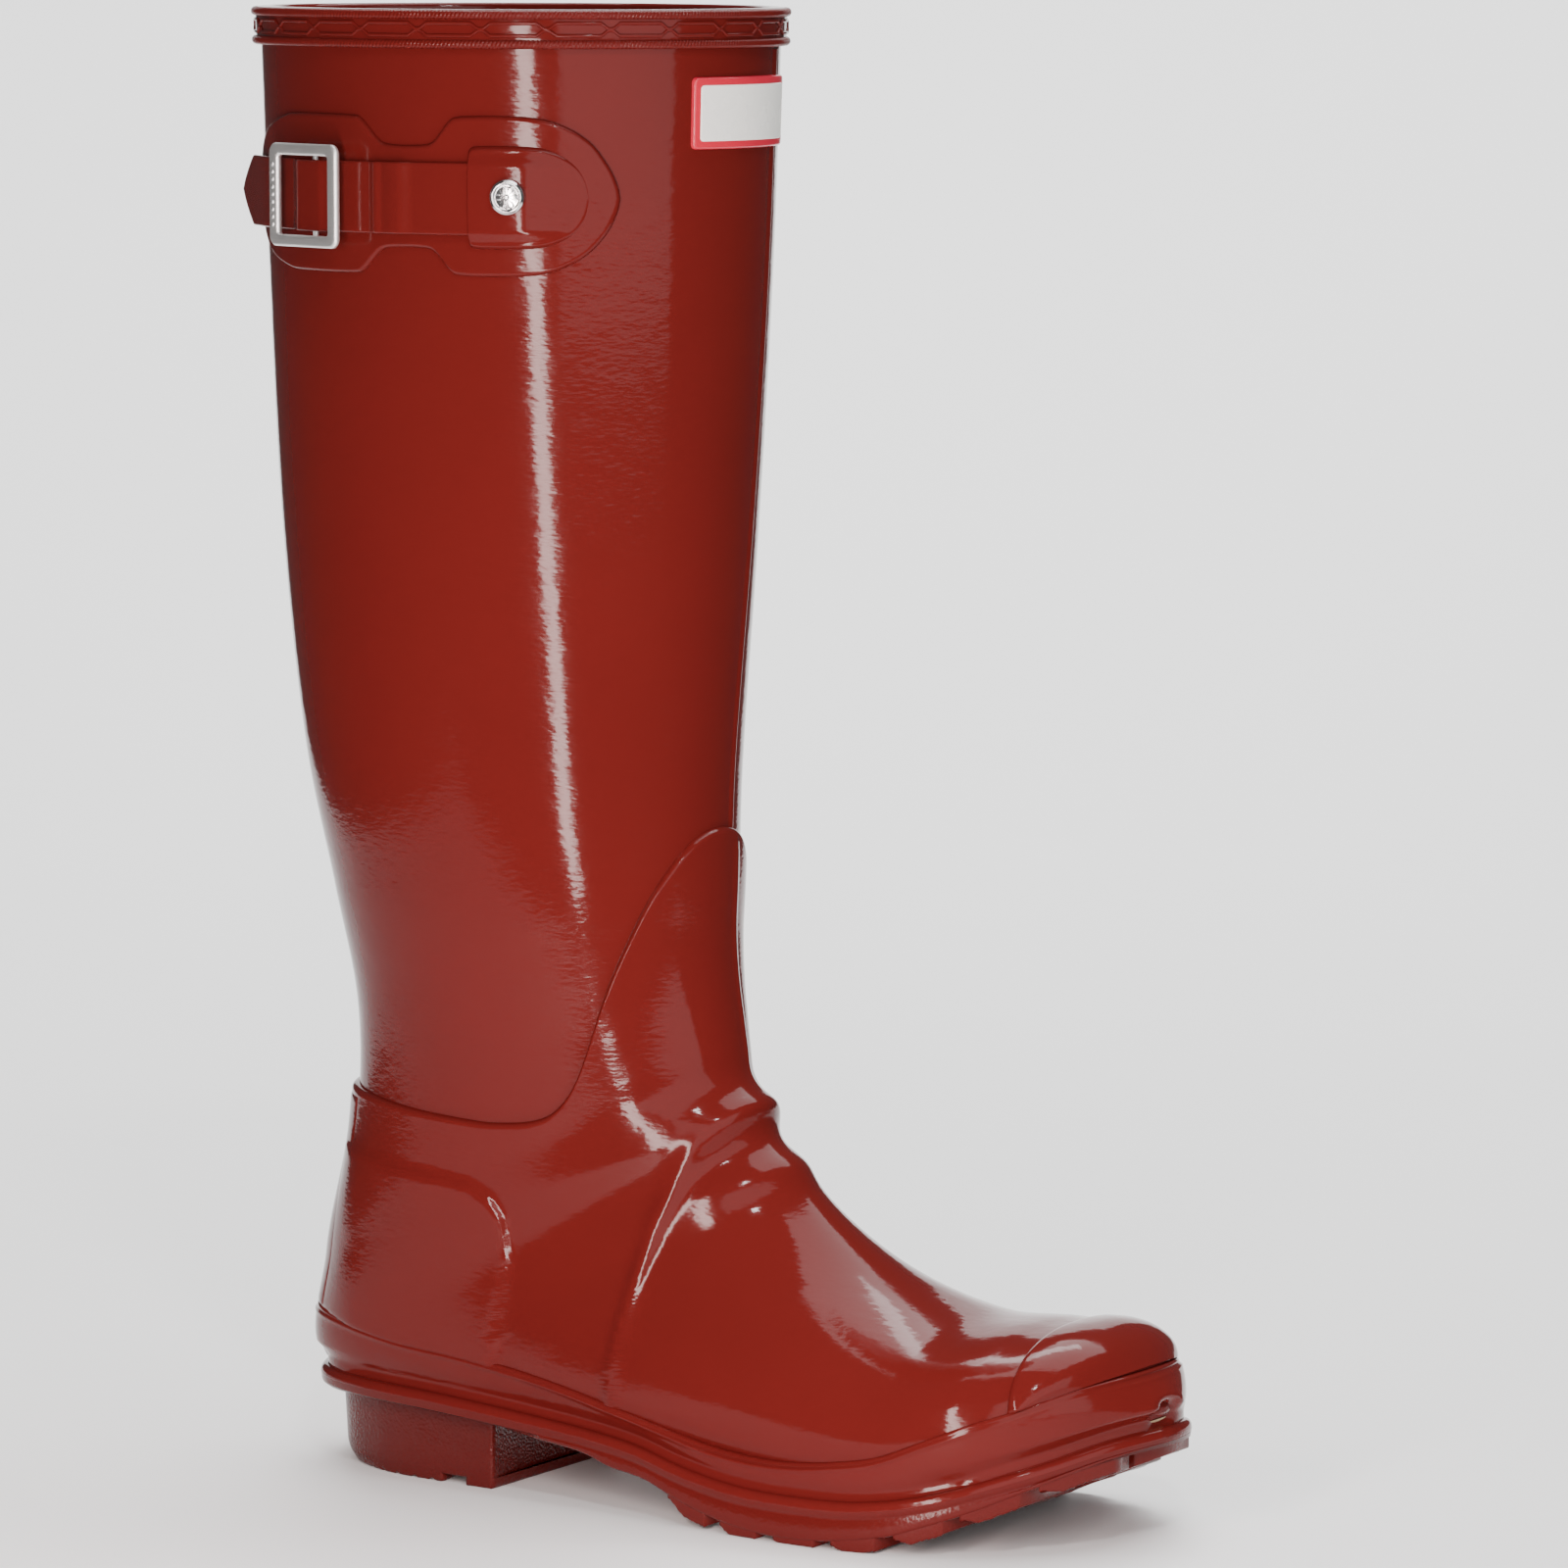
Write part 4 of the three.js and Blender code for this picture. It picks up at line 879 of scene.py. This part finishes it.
# Rounded rectangle on the front of the leg: its offset rises as a quarter circle in from the edge
def softPatch(name, halfTurn, height, low, thick, radius, corner, material, stands, slotName):
    across = np.sin(np.linspace(-pi / 2, pi / 2, 90))
    up = np.sin(np.linspace(pi / 2, -pi / 2, 70))[:, None]
    z = up * height / 2
    halfX, halfZ = halfTurn * label["perDegree"], height / 2
    awayX, awayZ = np.abs(across[None] * halfTurn * label["perDegree"]), np.abs(z)
    cornerX, cornerZ = np.maximum(awayX - (halfX - corner), 0), np.maximum(awayZ - (halfZ - corner), 0)
    rounded = corner - np.hypot(cornerX, cornerZ)
    inside = np.where((cornerX > 0) & (cornerZ > 0), rounded, np.minimum(halfX - awayX, halfZ - awayZ))
    offset = np.where(rounded < 0, low - 0.2, low + thick * lip(np.clip(inside, 0, None), radius))
    points = legAt(label["middle"] + z, np.radians(across * halfTurn)[None], offset)
    makeGrid(name, points, flip=True, material=material, stands=stands, slotName=slotName)


softPatch("labelBorder", label["halfTurn"], label["height"], 0.0, label["thick"], 0.7, 1.6, labelRed,
          ["label_base"], "label_red")
softPatch("labelField", label["halfTurn"] - label["side"], label["height"] - 2 * label["margin"],
          label["thick"] - 0.15, 0.4, 0.4, 1.0, labelWhite, ["label_face"], "label_white")
print("label ready")

strapSet = {"level": 350.5, "width": 19.0, "low": 2.12, "thick": 1.5, "edge": 0.55, "patchThick": 1.5,
            "patchGrow": 0.06}
patchUpper = np.array([[-109, 0], [-108.6, 8], [-106, 13], [-100, 17.6], [-90, 20.2], [-86, 20.5], [-62, 20.5],
                       [-59.5, 19.6], [-54, 14.2], [-51, 13.1], [-39, 13.1], [-36.5, 14.2], [-32.5, 19.4],
                       [-30, 20.5], [-13, 20.5], [-6, 19.4], [1, 15.5], [5.5, 9.5], [7.6, 3.5], [8, 0]])


# Turn on the outer side whose wall stands at x, at the strap's level
def turnAtX(x):
    front, back = 24.25, -123.1
    return np.arccos(np.clip((x - (front + back) / 2) / ((front - back) / 2), -1, 1))


# The same open outline with its corners cut, again and again, the two ends kept
def cutCorners(points, times=2):
    for _ in range(times):
        near = points[:-1] * 0.75 + points[1:] * 0.25
        far = points[:-1] * 0.25 + points[1:] * 0.75
        points = np.concatenate([points[:1], np.stack([near, far], 1).reshape(-1, 2), points[-1:]])
    return points


# Patch on the outer side whose upper and lower edges mirror each other about the strap's level
def lobedPatch(name, upper, low, thick, radius, columns, rows, stands, extra=None):
    upper = cutCorners(upper)
    x0, x1 = upper[0, 0], upper[-1, 0]
    x = (x0 + x1) / 2 - (x1 - x0) / 2 * np.cos(np.linspace(0, pi, columns))
    half = np.interp(x, upper[:, 0], upper[:, 1])
    up = np.sin(np.linspace(pi / 2, -pi / 2, rows))
    z = up[:, None] * half[None]
    border = np.concatenate([upper, upper[::-1] * [1, -1]])
    flat = np.stack([np.broadcast_to(x[None], z.shape), z], -1)
    inside = lineDistance(flat, border)[0]
    offset = low + thick * lip(inside, radius)
    if extra is not None:
        offset = offset + extra(flat, inside)
    z = z * (1 + strapSet["patchGrow"] * smooth(z, 8, 14))
    points = legAt(strapSet["level"] + z, np.broadcast_to(turnAtX(x)[None], z.shape), offset)
    makeGrid(name, points, material=glossRed, stands=stands)


lobedPatch("strapBase", patchUpper, 0.0, strapSet["patchThick"], 1.2, 320, 110, ["strap_base_patch"])

coverUpper = np.array([[-27, 0], [-27, 11.6], [-26, 12.8], [-24.6, 13.2], [-12, 13.2], [-6, 12.4], [-1, 9.6],
                       [1.6, 5], [2.3, 0]])


# Stands over the strap at the pocket's mouth and sinks towards the front
def coverShape(flat, inside):
    x, z = flat[..., 0], flat[..., 1]
    body = 1 - smooth(x, -14, 2.5)
    overStrap = 1 - smooth(np.abs(z), 8.2, 12.0)
    return 1.7 * body * (0.35 + 0.65 * overStrap) * smooth(inside, 0, 1.0) - 1.05 * smooth(x, -14, 0)


lobedPatch("strapCover", coverUpper, strapSet["patchThick"] - 0.1, 1.3, 1.2, 140, 90, ["strap_cover_patch"],
           coverShape)

bar = {"turn": 110.0, "axis": 3.19, "radius": 0.75, "over": 4.5, "halfTop": 3.0, "slope": 5.0}
tail = {"hinge": 134.6, "length": 19.0, "point": 10.0, "taper": 0.72, "axis": 2.9}


# Underside of the strap along the leg: level, rising over the buckle's middle bar, with a small bend at the
# pocket's mouth and another beside the buckle.
def strapLift(degrees):
    over = smooth(bar["halfTop"] + bar["slope"] - np.abs(degrees - bar["turn"]), 0, bar["slope"])
    mouth = smooth(degrees, 83.6, 87.2) * (1 - smooth(degrees, 87.6, 94))
    besideFrame = smooth(degrees, 90.6, 92.4) * (1 - smooth(degrees, 92.6, 94.4))
    return strapSet["low"] + (bar["over"] - strapSet["low"]) * over + 1.1 * mouth + 0.7 * besideFrame


# Foot of something that stands on the leg at a turn, its outward direction, and the level one to its side
def standAt(degrees, level=strapSet["level"]):
    at = legAt([level, level], math.radians(degrees), [0, 1])
    out = at[1] - at[0]
    return at[0], out, np.array([-out[1], out[0], 0.0])


upward = np.array([0, 0, 1.0])
tailFoot, tailOut, tailSide = standAt(tail["hinge"])


# The strap's section, carried round the leg and then straight on along the tail, which narrows to a point:
# two flat faces joined by half round edges
def strapShell():
    degrees = np.linspace(60, tail["hinge"], 240)
    low = strapLift(degrees)
    feet = legAt(strapSet["level"], np.radians(degrees), low)
    outs = legAt(strapSet["level"], np.radians(degrees), low + 1) - feet
    at = (np.linspace(0.02, 1, 60) * tail["length"])[:, None]
    narrow = np.minimum(1.0, (tail["length"] - at[:, 0]) / tail["point"]) ** tail["taper"]
    feet = np.concatenate([feet, tailFoot + tailOut * strapLift(tail["hinge"]) - tailSide * at])
    outs = np.concatenate([outs, np.broadcast_to(tailOut, (len(at), 3))])
    halves = strapSet["width"] / 2 * np.concatenate([np.ones(len(degrees)), narrow])
    flatHalf = (np.maximum(halves, 0.25) - strapSet["edge"])[:, None]
    angle = np.linspace(-pi / 2, pi / 2, 7)
    edgeZ = np.maximum(flatHalf + strapSet["edge"] * np.cos(angle), 0.05)
    edgeUp = strapSet["thick"] / 2 * (1 + np.sin(angle))
    topZ, underZ = flatHalf * np.linspace(0.9, -0.9, 13), flatHalf * np.linspace(-0.9, 0.9, 7)
    z = np.concatenate([edgeZ, topZ, -edgeZ[:, ::-1], underZ], 1)[..., None]
    up = np.concatenate([edgeUp, np.full(13, strapSet["thick"]), edgeUp[::-1], np.zeros(7)])[:, None]
    return feet[:, None] + outs[:, None] * up + upward * z


strapPoints = strapShell()
strapRows, ringSize = strapPoints.shape[:2]
strapFaces = gridFaces(strapRows, ringSize, wrapColumns=True).tolist()
strapFaces.append(list(range(ringSize)))
strapFaces.append([strapRows * ringSize - 1 - i for i in range(ringSize)])
strapBand = makeObject("strapBand", strapPoints, strapFaces, glossRed, body=None)
# ends of the tail's hinge line, from just before it to a little way along the tail
hingeStart = tailFoot + tailOut * tail["axis"] + tailSide * 1.0
hingeEnd = tailFoot + tailOut * tail["axis"] - tailSide * 6.0


# From millimetres in the form's frame to metres in the row's
def toRow(point):
    return tuple((point + move) / 1000)


toRow(hingeStart)
toRow(hingeEnd)
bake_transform(strapBand)
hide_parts("strap", "strap_tail")

stud = {"turn": 63.0, "radius": 4.6, "low": 5.2, "rise": 1.7, "petals": 6, "level": 351.2}
studFoot, studOut, studSide = standAt(stud["turn"], stud["level"])
radial = np.concatenate([np.linspace(0, 0.74, 46), np.linspace(0.76, 1, 22)])[:, None]
angles = np.arange(180)[None] * 2 * pi / 180
# domed rim round a sunk field that carries a plain ring of petals
dome = stud["rise"] * np.sqrt(np.clip(1 - radial ** 2 * 0.96, 0, 1)) * 0.55 + 0.55
rimRing = 0.35 * np.exp(-((radial - 0.84) / 0.09) ** 2)
field = -0.42 * (1 - smooth(radial, 0.7, 0.76))
petal = 0.42 * smooth(np.cos(stud["petals"] * angles) * 0.5 + 0.5 - np.abs(radial - 0.42) * 1.9, 0.15, 0.45)
petal = petal * (1 - smooth(radial, 0.62, 0.7)) + 0.45 * (1 - smooth(radial, 0.1, 0.16))
studHeight = stud["low"] + dome + rimRing + field + petal
studPoints = (studFoot + studSide * (radial * np.cos(angles) * stud["radius"])[..., None]
              + upward * (radial * np.sin(angles) * stud["radius"])[..., None]
              + studOut * studHeight[..., None])
wall = [studPoints[-1] - studOut * drop for drop in (0.5, 1.4, 2.6)]
makeGrid("studDome", np.concatenate([studPoints, wall]), wrapColumns=True, material=chrome,
         stands=["stud_cap"], slotName="chrome")

buckle = {"width": 29.0, "height": 27.5, "bar": 3.8, "topBar": 3.2, "low": 6.0, "thick": 2.0, "corner": 2.6,
          "innerCorner": 0.9, "round": 0.85, "barInset": 1.6, "postRadius": 0.8, "studs": 9, "studSpan": 8.0,
          "studRadius": 0.55}
frameFoot, frameOut, frameSide = standAt(bar["turn"])


# Rectangle with quarter circles at its corners, from its half sizes
def roundedLoop(halfA, halfB, radius):
    angle = np.linspace(0, pi / 2, 24) + np.arange(4)[:, None] * pi / 2
    signA, signB = np.array([1, -1, -1, 1])[:, None], np.array([1, 1, -1, -1])[:, None]
    return np.stack([signA * (halfA - radius) + radius * np.cos(angle),
                     signB * (halfB - radius) + radius * np.sin(angle)], -1).reshape(-1, 2)


# The buckle's frame: a section with half round sides, carried round a rounded rectangle
def buckleRing():
    outerA, outerB = buckle["width"] / 2, buckle["height"] / 2
    innerA, innerB = outerA - buckle["bar"], outerB - buckle["topBar"]
    r = buckle["round"]
    layers = []
    for side in (1, -1):
        for angle in np.linspace(-pi / 2, pi / 2, 9) * side:
            grow = r * (1 - math.cos(angle))
            level = buckle["low"] + r + r * math.sin(angle)
            if angle >= 0:
                level += buckle["thick"] - 2 * r
            if side == 1:
                loop = roundedLoop(outerA - grow, outerB - grow, buckle["corner"])
            else:
                loop = roundedLoop(innerA + grow, innerB + grow, buckle["innerCorner"] + grow)
            layers.append(frameFoot + frameSide * loop[:, :1] + upward * loop[:, 1:] + frameOut * level)
    return np.array(layers)


# Round bar between two points given as (along, up, out) beside the leg: a circle at each end
def roundBar(start, stop, radius, sides=16):
    axes = np.array([frameSide, upward, frameOut])
    a, b = frameFoot + np.array(start) @ axes, frameFoot + np.array(stop) @ axes
    way = (b - a) / np.linalg.norm(b - a)
    first = np.cross(way, frameSide)
    first /= np.linalg.norm(first)
    second = np.cross(way, first)
    t = (np.arange(sides) * 2 * pi / sides)[:, None]
    loop = (first * np.cos(t) + second * np.sin(t)) * radius
    faces = gridFaces(2, sides, wrapColumns=True, flip=True).tolist()
    faces += [list(range(sides)), list(range(2 * sides - 1, sides - 1, -1))]
    return np.concatenate([a + loop, b + loop]), faces


ringPoints = buckleRing()
ringFaces = gridFaces(*ringPoints.shape[:2], wrapRows=True, wrapColumns=True).tolist()
joined = [(ringPoints.reshape(-1, 3), ringFaces)]
barEnd = buckle["height"] / 2 - buckle["barInset"]
joined.append(roundBar((0, -barEnd, bar["axis"]), (0, barEnd, bar["axis"]), bar["radius"]))
for sign in (-1, 1):
    joined.append(roundBar((0, sign * barEnd, bar["axis"]), (0, sign * barEnd, buckle["low"] + 1),
                           buckle["postRadius"]))
# plain studs along the rear bar
rearX = -(buckle["width"] - buckle["bar"]) / 2
for step in np.linspace(-buckle["studSpan"], buckle["studSpan"], buckle["studs"]):
    joined.append(roundBar((rearX, step, buckle["low"] + 1.9),
                           (rearX + 0.001, step, buckle["low"] + buckle["thick"] + 0.18),
                           buckle["studRadius"], 10))
joinBlocks("buckleRing", joined, body="buckle", material=satin, stands=["buckle_frame"], slotName="steel")
print("strap set ready")

studio = {"sheetHalf": 0.62, "sheetFront": 0.4, "sheetBack": 1.3, "sheetCurl": 0.8, "sheetTop": 1.3,
          "azimuth": 33.0, "pitch": 6.8, "distance": 2000.0, "height": 430.4, "side": 30.0, "lens": 171.67,
          "worldStrength": 0.1}
angle = math.radians(studio["azimuth"])
right = np.array([math.cos(angle), math.sin(angle), 0])
ahead = np.array([-math.sin(angle), math.cos(angle), 0])
# the sheet lies flat, then curls up behind the boot
curl = np.linspace(0, pi / 2, 25)
sheetY = np.concatenate([[-studio["sheetFront"]], studio["sheetBack"] + np.sin(curl) * studio["sheetCurl"],
                         [studio["sheetBack"] + studio["sheetCurl"]]])
sheetZ = np.concatenate([[0], (1 - np.cos(curl)) * studio["sheetCurl"], [studio["sheetTop"]]])
sheet = np.array([[right * side * studio["sheetHalf"] + ahead * y + (0, 0, z) for side in (-1, 1)]
                  for y, z in zip(sheetY, sheetZ)])
floorMesh = bpy.data.meshes.new("floor")
floorMesh.from_pydata(sheet.reshape(-1, 3).tolist(), [], gridFaces(len(sheetY), 2).tolist())
floorMesh.polygons.foreach_set("use_smooth", [True] * len(floorMesh.polygons))
floor = bpy.data.objects.new("floor", floorMesh)
bpy.context.scene.collection.objects.link(floor)
floorMaterial, floorNodes, floorShader, floorPlace = startMaterial("floorPaint")
floorColour = blendColour(floorPlace, noise(floorPlace, 3, 2), (0.86, 0.86, 0.86), (0.9, 0.9, 0.9))
link(floorNodes, floorShader, "Base Color", floorColour)
floorShader.inputs["Roughness"].default_value = 0.6
floorMesh.materials.append(floorMaterial)


# Rectangular lamp; its long side, sizeY, lies as near to the upward direction as it can
def areaLight(name, place, target, size, sizeY, power, upward=(0, 0, 1), colour=(1, 1, 1)):
    data = bpy.data.lights.new(name, "AREA")
    data.shape = "RECTANGLE"
    data.size, data.size_y = size, sizeY
    data.energy = power
    data.color = colour
    back = (Vector(place) - Vector(target)).normalized()
    side = Vector(upward).cross(back).normalized()
    lamp = bpy.data.objects.new(name, data)
    turned = Matrix((side, back.cross(side), back)).transposed().to_4x4()
    lamp.matrix_world = Matrix.Translation(place) @ turned
    bpy.context.scene.collection.objects.link(lamp)


stripLow, stripHigh = np.array((0.19, -0.44, 0.02)), np.array((0.055, -0.495, 0.42))
areaLight("stripLamp", (stripLow + stripHigh) / 2, (-0.03, -0.05, 0.22), 0.05,
          float(np.linalg.norm(stripHigh - stripLow)), 3.6, stripHigh - stripLow, (1.0, 0.84, 0.8))
areaLight("topLamp", (0.1, 0.75, 2.4), (0, 0.1, 0), 2.2, 2.2, 90, (0, 1, 0))
areaLight("rightLamp", (2.1, -1.5, 0.9), (0, 0, 0.2), 3.0, 2.2, 56)
areaLight("spotLamp", (0.6, -0.75, 1.15), (0, 0, 0.1), 0.1, 0.1, 4.5, (0, 1, 0))
areaLight("sheetLamp", ahead * 1.2 + (0, 0, 2.3), ahead * 2.6 + (0, 0, 0.5), 1.6, 1.0, 60, (0, 0, 1))

world = bpy.data.worlds.new("studioWorld")
bpy.context.scene.world = world
world.use_nodes = True
background = next(node for node in world.node_tree.nodes if node.type == "BACKGROUND")
background.inputs["Color"].default_value = (1, 1, 1, 1)
background.inputs["Strength"].default_value = studio["worldStrength"]

spot = -ahead * studio["distance"] + right * studio["side"] + np.array([0, 0, studio["height"]]) + move
pitch = math.radians(studio["pitch"])
look = ahead * math.cos(pitch) - np.array([0, 0, math.sin(pitch)])
camera = bpy.data.objects.new("camera", bpy.data.cameras.new("camera"))
camera.data.lens = studio["lens"]
camera.data.clip_end = 200
camera.location = Vector(spot / 1000)
camera.rotation_euler = Vector(look).to_track_quat("-Z", "Y").to_euler()
bpy.context.scene.collection.objects.link(camera)
bpy.context.scene.camera = camera

print("scene ready")
